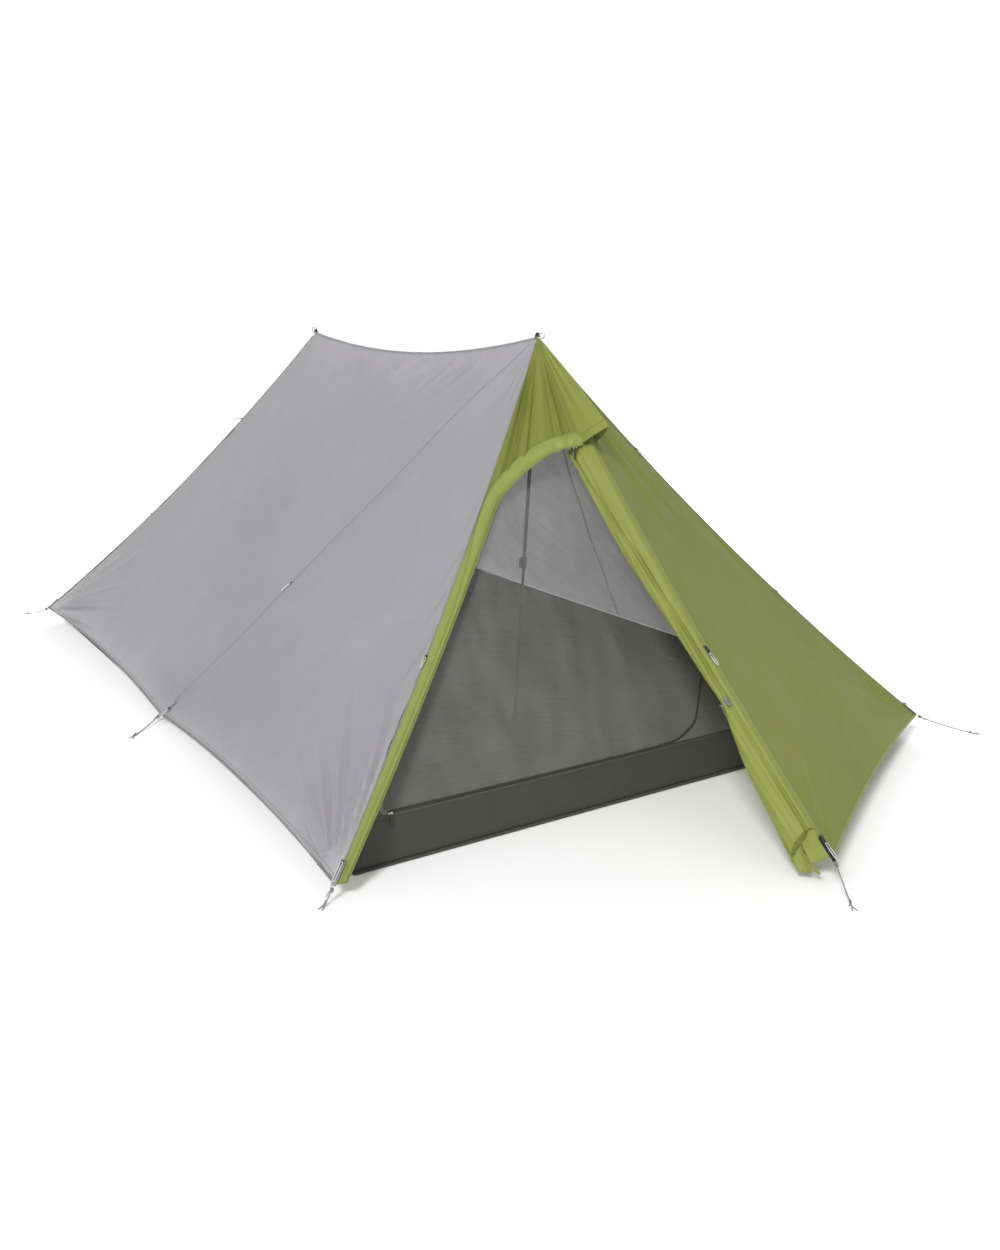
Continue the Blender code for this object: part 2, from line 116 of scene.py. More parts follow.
CAMERA_PLACE = (-1.933, -3.604, 1.247)
CAMERA_DIP = 14.754        # degrees below the horizon, and to the right of +Y
CAMERA_TURN = 32.565
CAMERA_LENS = 33.35
OVERHEAD = 0.55            # brightness of the room overhead, beside its walls and floor


# Curves of the tent ------------------------------------------------------------------------
def point(x, y, z):
    return np.array((x, y, z), float)


def steps(count, first=0.0, last=1.0):
    return np.linspace(first, last, count)


def circle(count, a, b):
    """A closed round of places, from the two half axes of a ring."""
    turn = steps(count, 0, 2 * math.pi)[:, None]
    return a * np.cos(turn) + b * np.sin(turn)


def placed(name, data):
    """A new object in the scene that shows some data."""
    made = bpy.data.objects.new(name, data)
    bpy.context.scene.collection.objects.link(made)
    return made


def unit(v):
    return v / np.maximum(np.linalg.norm(v, axis=-1, keepdims=True), 1e-12)


def lerp(a, b, t):
    return a + (b - a) * np.asarray(t, float)[..., None]


def smooth(low, high, x):
    t = np.clip((np.asarray(x, float) - low) / (high - low), 0, 1)
    return t * t * (3 - 2 * t)


def bow(start, end, t, sag, towards):
    t = np.asarray(t, float)
    return lerp(start, end, t) + towards * (4 * sag * t * (1 - t))[..., None]


def apex(end):
    return point(0, end * HALF_RIDGE, RIDGE_HEIGHT)


def nose(end):
    return point(0, end * NOSE_Y, NOSE_Z)


def corner(side, end):
    height = REAR_CORNER_Z
    if end < 0:
        height = FRONT_LEFT_Z if side < 0 else FRONT_RIGHT_Z
    return point(side * HALF_WIDTH, end * HALF_LENGTH, height)


def side_peg(side):
    return point(side * SIDE_PEG_X, SIDE_PEG_Y, SIDE_PEG_Z)


def drooped(top, foot, t, sag):
    """A seam from an apex to a peg, which sags square to itself."""
    chord = unit(foot - top)
    return bow(top, foot, t, sag, unit(chord * (UP @ chord) - UP))


def ridge(t):
    return bow(apex(-1), apex(1), t, RIDGE_SAG, -UP)


def side_seam(side, end, t):
    return drooped(apex(end), corner(side, end), t, SEAM_SAG)


def centre_seam(end, t):
    return drooped(apex(end), nose(end), t, CENTRE_SEAM_SAG)


def side_hem(side, t):
    t = np.asarray(t, float)
    lift = point(-0.6 * side, 0, 0.8)
    first = bow(corner(side, -1), side_peg(side), 2 * t, HEM_SAG, lift)
    second = bow(side_peg(side), corner(side, 1), 2 * t - 1, HEM_SAG, lift)
    return np.where((t < 0.5)[..., None], first, second)


def nose_hem(side, end, t):
    lift = unit(point(-0.4 * side, -0.5 * end, 0.75))
    return bow(corner(side, end), nose(end), t, NOSE_HEM_SAG, lift)


def side_surface(side, u, v):
    """Fly side: u from front to rear, v from ridge to hem."""
    start, end = np.zeros(1), np.ones(1)
    across = lerp(ridge(u), side_hem(side, u), v)
    down = lerp(side_seam(side, -1, v), side_seam(side, 1, v), u)
    top = lerp(ridge(start)[0], ridge(end)[0], u)
    foot = lerp(side_hem(side, start)[0], side_hem(side, end)[0], u)
    return across + down - lerp(top, foot, v)


def vestibule_surface(side, end, s, t):
    """Vestibule side: s from side seam to centre seam, t from apex to hem."""
    flat = lerp(side_seam(side, end, t), centre_seam(end, t), s)
    shift = nose_hem(side, end, s) - lerp(corner(side, end), nose(end), s)
    return flat + shift * np.asarray(t)[..., None] ** 3


def arch(s):
    """Lower edge of the gable above the door, as a distance down the seams."""
    return ARCH_LEVEL + ARCH_DROP * np.exp(-np.maximum(np.asarray(s, float) - ARCH_START, 0) / ARCH_RUN)


def roll_frame(t):
    """Points on the centre seam, with the directions along the roll, aside, and out of the door."""
    t = np.asarray(t, float)
    seam = centre_seam(-1, t)
    along = unit(centre_seam(-1, t + 0.01) - seam)
    hint = point(-0.75, -0.454, 0.481)
    outward = unit(hint - along * (along @ hint)[..., None])
    return seam, along, np.cross(along, outward), outward


def strip_edge(t):
    """Door edge of the green strip, as a fraction of the way across the panel."""
    top = ARCH_LEVEL + ARCH_DROP
    fall = np.clip((np.asarray(t, float) - top) / (1 - top), 0, 1) ** 1.5
    return (STRIP_TOP_WIDTH + (STRIP_FOOT_WIDTH - STRIP_TOP_WIDTH) * fall) / (HALF_WIDTH * t)


def inner_ridge(t):
    start, end = (point(0, y, INNER_APEX_Z) for y in (-INNER_APEX_Y, INNER_APEX_Y))
    return bow(start, end, t, INNER_RIDGE_SAG, -UP)


# Camera ------------------------------------------------------------------------------------
def add_camera():
    data = bpy.data.cameras.new("camera")
    data.sensor_width = 36
    data.lens = CAMERA_LENS
    camera = placed("camera", data)
    camera.location = CAMERA_PLACE
    camera.rotation_euler = (math.radians(90 - CAMERA_DIP), 0, math.radians(-CAMERA_TURN))
    bpy.context.scene.camera = camera


add_camera()


# Node materials ----------------------------------------------------------------------------
class Nodes:
    """Short-hand for building one node tree."""

    def __init__(self, name):
        self.material = bpy.data.materials.new(name)
        self.material.use_nodes = True
        self.tree = self.material.node_tree
        self.tree.nodes.clear()
        coords = self.tree.nodes.new("ShaderNodeTexCoord")
        self.place = coords.outputs["Object"]
        self.uv = coords.outputs["UV"]

    def add(self, kind, inputs, output=0, **settings):
        """Adds a node; an input is a number, a tuple, or another node's output to link."""
        made = self.tree.nodes.new("ShaderNode" + kind)
        for key, value in settings.items():
            setattr(made, key, value)
        for key, value in inputs.items():
            if isinstance(value, bpy.types.NodeSocket):
                self.tree.links.new(value, made.inputs[key])
            else:
                made.inputs[key].default_value = value
        return made.outputs[output]

    def math(self, operation, a, b=0.0):
        return self.add("Math", {0: a, 1: b}, operation=operation)

    def noise(self, scale, detail=2.0, low=0.0, high=1.0, where=None, rough=0.5):
        made = self.add("TexNoise", {"Vector": where or self.place, "Scale": scale,
                                     "Detail": detail, "Roughness": rough})
        return self.spread(made, low, high)

    def spread(self, value, low, high, first=0.25, last=0.75):
        return self.add("MapRange", {"Value": value, "From Min": first, "From Max": last,
                                     "To Min": low, "To Max": high})

    def stretched(self, x, y, z):
        return self.add("VectorMath", {0: self.place, 1: (x, y, z)}, operation="MULTIPLY")

    def tint(self, colour, *factors):
        total = factors[0]
        for factor in factors[1:]:
            total = self.math("MULTIPLY", total, factor)
        return self.add("VectorMath", {0: colour, "Scale": total}, operation="SCALE")

    def lines(self, pitch, width, axis):
        """1 on thin lines that repeat at a pitch along one UV axis."""
        part = self.add("SeparateXYZ", {0: self.uv}, output=axis)
        turn = self.math("FRACT", self.math("DIVIDE", part, pitch))
        return self.math("LESS_THAN", turn, width / pitch)

    def bump(self, height, distance, after=None):
        inputs = {"Height": height, "Distance": distance, "Strength": 1.0}
        if after is not None:
            inputs["Normal"] = after
        return self.add("Bump", inputs)

    def skin(self, colour, roughness, normal, more):
        inputs = {"Base Color": colour, "Roughness": roughness, "Normal": normal}
        return self.add("BsdfPrincipled", {**inputs, **more})

    def finish(self, shader):
        made = self.tree.nodes.new("ShaderNodeOutputMaterial")
        self.tree.links.new(shader, made.inputs["Surface"])
        return self.material


def fabric(name, colour, through, roughness=0.5, sheen=0.12, ripstop=0.006, crinkle=0.0011,
           glow=(1.0, 1.0, 1.0)):
    """Coated nylon: a fine ripstop grid, soft creases, and some light that comes through."""
    n = Nodes(name)
    cross = n.math("MAXIMUM", n.lines(ripstop, 0.0006, 0), n.lines(ripstop, 0.0006, 1))
    grid = n.math("SUBTRACT", 1.0, n.math("MULTIPLY", cross, 0.07))
    shade = n.tint(colour, n.noise(1.8, 3, 0.94, 1.06), n.noise(14, 4, 0.975, 1.025),
                   n.noise(420, 1, 0.97, 1.03), grid)
    crease = n.bump(n.noise(26, 6, rough=0.55), crinkle)
    weave = n.bump(n.math("ADD", n.noise(900, 1), cross), 0.00006, crease)
    skin = n.skin(shade, n.noise(9, 3, roughness - 0.06, roughness + 0.06), weave,
                  {"Sheen Weight": sheen, "Sheen Roughness": 0.4, "Specular IOR Level": 0.22})
    lit = n.add("VectorMath", {0: shade, 1: glow}, operation="MULTIPLY")
    glowing = n.add("BsdfTranslucent", {"Color": lit, "Normal": weave})
    return n.finish(n.add("MixShader", {0: through, 1: skin, 2: glowing}))


def netting(name, colour, cover):
    """Fine insect mesh: a veil of dark threads, with slack bands where it is doubled."""
    n = Nodes(name)
    threads = n.noise(520, 1, -0.09, 0.09)
    slack = n.noise(2.6, 4, -0.06, 0.06, n.stretched(7.0, 7.0, 0.8))
    alpha = n.math("ADD", n.math("ADD", threads, slack), cover)
    shade = n.tint(colour, n.noise(3.0, 3, 0.9, 1.1, n.stretched(4.0, 4.0, 0.6)))
    return n.finish(n.skin(shade, 0.85, n.bump(n.noise(600, 1), 0.0002),
                           {"Alpha": alpha, "Sheen Weight": 0.1}))


def tape(name, colour, roughness=0.75, rib=0.0013, stitch=0.0032, contrast=0.16, sheen=0.05):
    """Woven tape or webbing: ribs across it and a row of stitches along it."""
    n = Nodes(name)
    ribs = n.lines(rib, rib * 0.45, 0)
    stitches = n.lines(stitch, stitch * 0.35, 0)
    fade = n.math("SUBTRACT", 1.0, n.math("MULTIPLY", ribs, contrast))
    thread = n.math("ADD", 1.0, n.math("MULTIPLY", stitches, contrast * 0.6))
    shade = n.tint(colour, fade, thread, n.noise(60, 4, 0.9, 1.1))
    return n.finish(n.skin(shade, n.noise(80, 2, roughness - 0.08, roughness + 0.08),
                           n.bump(n.math("ADD", ribs, n.noise(1200, 1)), 0.00022),
                           {"Sheen Weight": sheen}))


def braid(name, colour):
    """Thin braided cord."""
    n = Nodes(name)
    slant = n.add("TexWave", {"Vector": n.place, "Scale": 150.0, "Distortion": 0.6,
                              "Detail": 1.0}, output=1, bands_direction="DIAGONAL")
    shade = n.tint(colour, n.spread(slant, 0.72, 1.08, 0.1, 0.9), n.noise(300, 2, 0.9, 1.1))
    return n.finish(n.skin(shade, n.noise(200, 2, 0.6, 0.8), n.bump(slant, 0.0003),
                           {"Sheen Weight": 0.03}))


def hard(name, colour, roughness, metallic=0.0, grain=400.0, depth=0.00005, wear=0.1):
    """Moulded plastic, rubber or anodised tube: fine grain, handling wear and soft scratches."""
    n = Nodes(name)
    rubbed = n.spread(n.noise(24, 6, rough=0.65), 1 - wear, 1 + wear, 0.0, 1.0)
    shade = n.tint(colour, rubbed, n.noise(grain, 2, 0.94, 1.06))
    scratches = n.noise(60, 5, roughness - 0.07, roughness + 0.09, n.stretched(8.0, 8.0, 0.5))
    return n.finish(n.skin(shade, scratches, n.bump(n.noise(grain, 3), depth),
                           {"Metallic": metallic}))


GREY_FLY = fabric("grey_fly", (0.430, 0.420, 0.437), 0.42, roughness=0.50, sheen=0.05,
                  glow=(1.45, 1.45, 1.45))
GREEN_FLY = fabric("green_fly", (0.200, 0.232, 0.047), 0.22, roughness=0.46, sheen=0.02)
# A lighter copy of the fly green, with less light let through: the lift in colour is painted light on the
# door strip, the storm flaps and the centre facing
GREEN_PAINTED_LIGHT = fabric("green_painted_light", (0.245, 0.292, 0.070), 0.12, roughness=0.48, sheen=0.02)
# A copy of the fly green, a little lighter: painted light on the rolled door, its hem corner and seam band,
# and the vent hoods
GREEN_ROLL_PAINTED_LIGHT = fabric("green_roll_painted_light", (0.222, 0.256, 0.054), 0.10, roughness=0.46, sheen=0.02)
BATHTUB = fabric("bathtub", (0.056, 0.056, 0.047), 0.04, roughness=0.42, crinkle=0.0018)
NETTING = netting("insect_mesh", (0.25, 0.25, 0.243), 0.38)
SEAM_GREY = tape("seam_grey", (0.26, 0.255, 0.265), 0.6, rib=0.0008, contrast=0.05)
SEAM_GREEN = tape("seam_green", (0.215, 0.25, 0.048), 0.55, rib=0.0008, contrast=0.08)
HEM_GREY = tape("hem_grey", (0.20, 0.197, 0.203), 0.65, contrast=0.10)
BINDING = tape("floor_binding", (0.070, 0.069, 0.064))
TRIM = tape("inner_trim", (0.20, 0.20, 0.192), 0.7)
WEBBING = tape("webbing", (0.012, 0.012, 0.013), 0.7, contrast=0.35, sheen=0.02)
REFLECTOR = tape("reflective_loop", (0.74, 0.74, 0.76), 0.35, rib=0.0009, contrast=0.12)
CORD = braid("guy_cord", (0.23, 0.23, 0.235))
DARK_CORD = braid("dark_cord", (0.030, 0.030, 0.030))
ZIP_TAPE = tape("zip_tape", (0.032, 0.032, 0.030), 0.7, rib=0.0018, contrast=0.4)
TUBE = hard("anodised_tube", (0.045, 0.045, 0.048), 0.34, 0.75)
PLASTIC = hard("moulded_plastic", (0.020, 0.020, 0.021), 0.42)
RUBBER = hard("foot_rubber", (0.022, 0.021, 0.020), 0.8, grain=250.0, depth=0.00015)
TOGGLE = hard("toggle_plastic", (0.16, 0.16, 0.165), 0.45)
METAL = hard("zip_metal", (0.56, 0.56, 0.58), 0.30, 0.95, wear=0.2)


# Mesh shapes -------------------------------------------------------------------------------
def grid_shape(points):
    """(vertices, faces, UVs in metres) of a sheet over a grid of points."""
    n, m = points.shape[:2]
    index = np.arange(n * m).reshape(n, m)
    faces = np.stack((index[:-1, :-1], index[1:, :-1], index[1:, 1:], index[:-1, 1:]), -1)
    uv = np.zeros((n, m, 2))
    uv[1:, :, 0] = np.cumsum(np.linalg.norm(np.diff(points, axis=0), axis=-1), 0)
    uv[:, 1:, 1] = np.cumsum(np.linalg.norm(np.diff(points, axis=1), axis=-1), 1)
    return points.reshape(-1, 3), faces.reshape(-1, 4).tolist(), uv.reshape(-1, 2)


def loft_shape(rings):
    """A closed tube through rings of points, with its ends filled."""
    n, m = rings.shape[:2]
    wrapped = np.concatenate((rings, rings[:, :1]), 1)
    _, _, uv = grid_shape(wrapped)
    uv = uv.reshape(n, m + 1, 2)[:, :m].reshape(-1, 2)
    index = np.arange(n * m).reshape(n, m)
    after = np.roll(index, -1, 1)
    faces = np.stack((index[:-1], index[1:], after[1:], after[:-1]), -1).reshape(-1, 4).tolist()
    faces.append(index[0].tolist())
    faces.append(index[-1][::-1].tolist())
    return rings.reshape(-1, 3), faces, uv


def tangents(path):
    return unit(np.gradient(path, axis=0))


def beside(path, direction):
    """Directions square to a path and to a direction, one for each point or one for all."""
    return unit(np.cross(tangents(path), direction))


def tube_shape(path, radius, sides=8):
    """A round tube along a path, with frames carried from point to point without twist."""
    path = np.asarray(path, float)
    along = tangents(path)
    side = np.cross(along[0], UP if abs(along[0] @ UP) < 0.9 else ASIDE)
    radius = np.broadcast_to(radius, len(path))
    angles = np.linspace(0, 2 * math.pi, sides, endpoint=False)
    rings = []
    for centre, tangent, size in zip(path, along, radius):
        side = unit(side - tangent * (side @ tangent))
        up = np.cross(tangent, side)
        rings.append(centre + size * (np.outer(np.cos(angles), side) + np.outer(np.sin(angles), up)))
    return loft_shape(np.array(rings))


def ribbon_shape(path, across, normal, width, thick, under=0.0002):
    """A flat tape along a path: across and normal are one direction, or one for each point."""
    across, normal = (np.broadcast_to(way, path.shape) for way in (across, normal))
    width = np.broadcast_to(width, len(path))[:, None, None]
    edge = thick * 0.8
    lift = np.array((0.0, thick, thick, 0.0, -under, -under))
    half = np.array((-0.5, -0.5, 0.5, 0.5, 0.5, -0.5))
    inset = np.array((0.0, edge, -edge, 0.0, -edge, edge))
    reach = half[None, :, None] * width + inset[None, :, None]
    rings = (path[:, None] + across[:, None] * reach
             + normal[:, None] * lift[None, :, None])
    return loft_shape(rings)


def make(name, shapes, material, body="tent", weld=0.0, sharp=None):
    """One object from several shapes, riding a body, with a material slot for its finish."""
    verts, faces, uvs, start = [], [], [], 0
    for points, quads, uv in shapes:
        verts.append(points)
        faces += [[k + start for k in face] for face in quads]
        uvs.append(uv)
        start += len(points)
    data = bpy.data.meshes.new(name)
    data.from_pydata(np.concatenate(verts).tolist(), [], faces)
    layer = data.uv_layers.new(name="metres")
    corners = np.zeros(len(data.loops), int)
    data.loops.foreach_get("vertex_index", corners)
    layer.data.foreach_set("uv", np.concatenate(uvs)[corners].astype(np.float32).ravel())
    if weld:
        bm = bmesh.new()
        bm.from_mesh(data)
        bmesh.ops.remove_doubles(bm, verts=bm.verts, dist=weld)
        bmesh.ops.recalc_face_normals(bm, faces=bm.faces)
        bm.to_mesh(data)
        bm.free()
    data.shade_smooth()
    if sharp is not None:
        data.set_sharp_from_angle(angle=math.radians(sharp))
    data.materials.append(material)
    obj = placed(name, data)
    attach(obj, body)
    return obj


def make_sheet(name, grids, look, nodes, area=None, places=2,
               edges=(), weld=0.0):
    """A piece of cloth from grids of points, in place of the part's plain solids."""
    sheet = make(name, [grid_shape(points) for points in grids] + list(edges), look, weld=weld)
    if nodes:
        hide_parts(*nodes)
    area = area or round(sum(surface_area(points) for points in grids), places)


class Cloth:
    """A grid of points over a surface, with normals, that wrinkles and that trims lie on."""

    def __init__(self, surface, us, vs, outward):
        self.us, self.vs, self.outward = us, vs, np.array(outward, float)
        self.u, self.v = np.meshgrid(us, vs, indexing="ij")
        self.points = surface(self.u, self.v)
        self.find_normals()

    def find_normals(self):
        turn = np.cross(np.gradient(self.points, axis=0), np.gradient(self.points, axis=1))
        if turn.sum((0, 1)) @ self.outward < 0:
            turn = -turn
        self.normals = unit(turn)

    def push(self, amount):
        self.points = self.points + self.normals * amount[..., None]
        self.find_normals()

    def at(self, u, v):
        """Point and normal at a place on the sheet, between the grid's own points."""
        def cell(values, x):
            k = np.clip(np.searchsorted(values, x) - 1, 0, len(values) - 2)
            return k, np.clip((x - values[k]) / (values[k + 1] - values[k]), 0, 1)

        u, v = np.broadcast_arrays(np.asarray(u, float), np.asarray(v, float))
        i, a = cell(self.us, u)
        j, b = cell(self.vs, v)
        found = []
        for field in (self.points, self.normals):
            near = lerp(field[i, j], field[i + 1, j], a)
            far = lerp(field[i, j + 1], field[i + 1, j + 1], a)
            found.append(lerp(near, far, b))
        return found[0], unit(found[1])

    def nearest(self, place):
        """Point and normal of the sheet nearest to a place."""
        gap = np.linalg.norm(self.points - place, axis=-1)
        k = np.unravel_index(gap.argmin(), gap.shape)
        return self.points[k], self.normals[k]

    def tape(self, u, v, width, thick, lift=0.0004, under=0.0003, shift=0.0):
        """A tape laid along a line on the sheet; shift moves it sideways on the sheet."""
        path, normal = self.at(u, v)
        across = beside(path, normal)
        path = path + across * shift + normal * lift
        return ribbon_shape(path, across, normal, width, thick, under)


def swell(cloth, height, seed, pitch=0.45):
    """Slow swells of slack cloth, that die out at the edges of the sheet."""
    rng = np.random.default_rng(seed)
    field = np.zeros(cloth.points.shape[:2])
    for _ in range(7):
        heading = unit(rng.normal(size=3))
        rate = 2 * math.pi / (pitch * rng.uniform(0.6, 1.6))
        field += np.sin(cloth.points @ heading * rate + rng.uniform(0, 6.28))
    return height * field / 2.6


def creases(cloth, centre, towards, reach, depth, count, seed, spread=0.8, width=0.007,
            near=0.03, flare=0.014):
    """Sharp folds that run out from a pulled point, each a trough with a ridge beside it."""
    gap = cloth.points - centre
    heading = unit(towards - centre)
    normal = unit(cloth.nearest(centre + heading * 0.3 * reach)[1])
    heading = unit(heading - normal * (heading @ normal))
    side = np.cross(normal, heading)
    rng = np.random.default_rng(seed)
    total = np.zeros(gap.shape[:2])
    for k in range(count):
        turn = spread * (2 * (k + rng.uniform(0.2, 0.8)) / count - 1)
        length = reach * rng.uniform(0.45, 1.0)
        bend = rng.uniform(-0.12, 0.12)
        p = gap @ (heading * math.cos(turn) + side * math.sin(turn))
        q = gap @ (side * math.cos(turn) - heading * math.sin(turn)) + bend * p * p
        wide = width + flare * np.maximum(p, 0)
        shape = 0.6 * np.exp(-((q - 1.6 * wide) / wide) ** 2) - np.exp(-(q / wide) ** 2)
        window = smooth(near, 0.25 * length, p) * (1 - smooth(0.4 * length, length, p))
        total += rng.uniform(0.6, 1.0) * shape * window
    return depth * total


def eased(count, pull=0.5):
    """0 to 1 in steps that are finer near both ends."""
    x = steps(count)
    return (1 - pull) * x + pull * (1 - np.cos(math.pi * x)) / 2


def knot_shapes(middle, along, size, turns=3):
    """Turns of cord wound round the cord, and a lump where its end is tucked under."""
    along = unit(along)
    side = unit(np.cross(along, UP))
    up = np.cross(side, along)
    t = np.linspace(0, turns, turns * 14)[:, None]
    spin = 2 * math.pi * t
    reach = size * (1.0 + 0.15 * np.sin(1.3 * spin))
    coil = (middle + along * (t / turns - 0.5) * size * 2.6
            + reach * (np.cos(spin) * side + np.sin(spin) * up))
    end = lerp(coil[-1], coil[-1] + along * size * 3 + side * size * 1.2 - UP * size, steps(5))
    return [tube_shape(np.concatenate((coil, end[1:])), CORD_R * 0.8, 6)]


def guyline(word, tip, root, peg):
    """A light cord from a webbing tab to the ground, knotted at both ends."""
    start = tip + unit(tip - root) * (0.004 + 3 * CORD_R) + UP * 0.002
    length = np.linalg.norm(peg - start)
    count = max(5, round(length / 0.012))
    path = bow(start, peg, np.arange(count + 1) / count, 0.02 * length, -UP)
    curve = bpy.data.curves.new(f"{word}_cord", "CURVE")
    curve.dimensions = "3D"
    curve.bevel_depth = CORD_R
    curve.bevel_resolution = 3
    curve.use_fill_caps = True
    spline = curve.splines.new("POLY")
    spline.points.add(len(path) - 1)
    for node, place in zip(spline.points, path):
        node.co = (*place, 1.0)
    curve.materials.append(CORD)
    cord = placed(f"{word}_cord", curve)
    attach(cord, "tent")
    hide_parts(f"{word}_guyline")
    along = unit(peg - start)
    foot = peg - along * min(0.014, 0.2 * length) + UP * 0.0015
    shapes = knot_shapes(start + along * 0.005, along, 0.0036) + knot_shapes(foot, along, 0.0022, 2)
    side = unit(np.cross(along, UP))
    flat = unit(along * point(1, 1, 0))
    for turn in (-1, 1):
        tail = [peg, peg + flat * 0.006 + side * turn * 0.004, peg + flat * 0.015 + side * turn * 0.005]
        shapes.append(tube_shape(np.array(tail), CORD_R * 0.7, 6))
    knots = make(f"{word}_knots", shapes, CORD)
    tuple(path[0])


def add_guylines():
    ground = CORD_R + 0.0001
    for word, side, end, x, y in (("front_left", -1, -1, -1.020, -1.456),
                                  ("front_right", 1, -1, 1.144, -1.532),
                                  ("rear_left", -1, 1, -1.030, 1.665),
                                  ("rear_right", 1, 1, 1.030, 1.665)):
        root, tip = side_seam(side, end, (1 - TAB_LENGTH / 1.64, 1.0))
        guyline(word, tip, root, point(x, y, ground))
    for side, word in ((-1, "left_side"), (1, "right_side")):
        root = side_surface(side, 0.488, 1 - TAB_LENGTH / 1.5)
        guyline(word, side_peg(side), root, point(side * 1.072, -0.148, ground))
    for end, word in ENDS:
        root, tip = centre_seam(end, (1 - TAB_LENGTH / 1.66, 1.0))
        guyline(f"{word}_nose", tip, root, point(end * 0.045, end * 2.083, ground))


add_guylines()


# Fly ---------------------------------------------------------------------------------------
def surface_area(points):
    side = points[1:, :-1] - points[:-1, :-1]
    down = points[:-1, 1:] - points[:-1, :-1]
    return float(np.linalg.norm(np.cross(side, down), axis=-1).sum())


def fly_surface(u, w):
    """The whole grey sheet: w from the left hem at -1, over the ridge at 0, to the right."""
    left = side_surface(-1, u, np.abs(w))
    right = side_surface(1, u, np.abs(w))
    return np.where((w < 0)[..., None], left, right)


def build_fly():
    vs = np.sin(0.5 * eased(136, 0.2) * math.pi)
    cloth = Cloth(fly_surface, eased(351, 0.6), np.concatenate((-vs[::-1], vs[1:])), (0, 0, 1))
    u, v = cloth.u, np.abs(cloth.v)
    inside = smooth(0, 0.12, u) * smooth(0, 0.12, 1 - u) * smooth(0, 0.1, v)
    amount = swell(cloth, 0.0032, 3) * inside * (1 - 0.7 * smooth(0.8, 1, v))
    for side in (-1, 1):
        mask = (cloth.v * side > 0) * smooth(0, 0.02, v)
        middle, low = side_surface(side, 0.5, 0.35), side_surface(side, 0.5, 0.9)
        for end in (-1, 1):
            seed = 11 + 3 * end + side
            pulled = creases(cloth, corner(side, end), middle, 0.80, 0.0115, 11, seed, 0.62, 0.0055,
                             flare=0.010)
            pulled += creases(cloth, apex(end), low, 0.40, 0.0030, 7, seed + 20, 0.7)
            for k, t in enumerate((0.30, 0.40, 0.47, 0.56, 0.62, 0.70, 0.76, 0.82, 0.88)):
                foot = side_surface(side, 0.5 + end * 0.46, min(t + 0.22, 0.98))
                pulled += creases(cloth, side_seam(side, end, t), foot, 0.30, 0.0070, 2, seed + 40 + k,
                                  0.20, 0.005, 0.005, 0.01)
            amount += mask * pulled
        pulled = creases(cloth, side_peg(side), ridge(0.5), 0.34, 0.0052, 9, 31 + side, 1.0)
        for k, place in enumerate((0.16, 0.26, 0.37, 0.47, 0.60, 0.74, 0.86)):
            aim = side_surface(side, place + (0.3 if place < 0.5 else -0.3), 0.22)
            pulled += creases(cloth, ridge(place), aim, 0.34, 0.0060, 2, 61 + k, 0.25, 0.008)
        amount += mask * pulled
    cloth.push(amount)
    make_sheet("grey_fly", [cloth.points], GREY_FLY, ("fly_left_side", "fly_right_side"))
    return cloth


def trim_fly(cloth):
    """Hem bindings, the ridge seam, and the seam that runs from the front apex to each side peg."""
    run = steps(240)
    for side, word in SIDES:
        lean, bow_in = PANEL_SEAMS[side]
        hem = cloth.tape(run, np.full(240, float(side)), 0.009, 0.0009, 0.0, 0.0009, -0.0038 * side)
        make(f"{word}_hem_binding", [hem], HEM_GREY, sharp=35)
        inner = cloth.tape(run, np.full(240, side * 0.990), 0.0018, 0.0005, 0.0003)
        line = 0.012 + 0.976 * eased(170, 0.5)
        seam = cloth.tape(lean * line / (line + bow_in), side * line, 0.0042, 0.0007)
        make(f"{word}_panel_seams", [seam, inner], SEAM_GREY, sharp=35)
    path, _ = cloth.at(steps(200, 0.004, 0.996), np.zeros(200))
    make("ridge_seam", [tube_shape(path - UP * 0.0006, 0.0017, 10)], GREY_FLY)


# Vestibules --------------------------------------------------------------------------------
PANEL_TOP = 0.004
PLEAT_DEPTH = 0.0058


def pleats(s, t, seed, depth):
    """Folds that fall from the apex, sharpest beside the side seam."""
    rng = np.random.default_rng(seed)
    fold = np.zeros(np.broadcast(s, t).shape)
    for place, width, size in ((0.05, 0.015, 0.8), (0.10, 0.016, -0.9), (0.15, 0.015, 1.0),
                               (0.20, 0.018, -0.8), (0.255, 0.018, 0.9), (0.33, 0.026, -0.6),
                               (0.50, 0.05, 0.5), (0.60, 0.028, -0.7), (0.665, 0.024, 0.9),
                               (0.735, 0.022, -0.7), (0.79, 0.018, 0.5)):
        bend = place + 0.015 * np.sin(7 * t + rng.uniform(0, 6.28))
        fold += size * np.exp(-((s - bend) / width) ** 2)
    return depth * fold * smooth(0.02, 0.16, t)


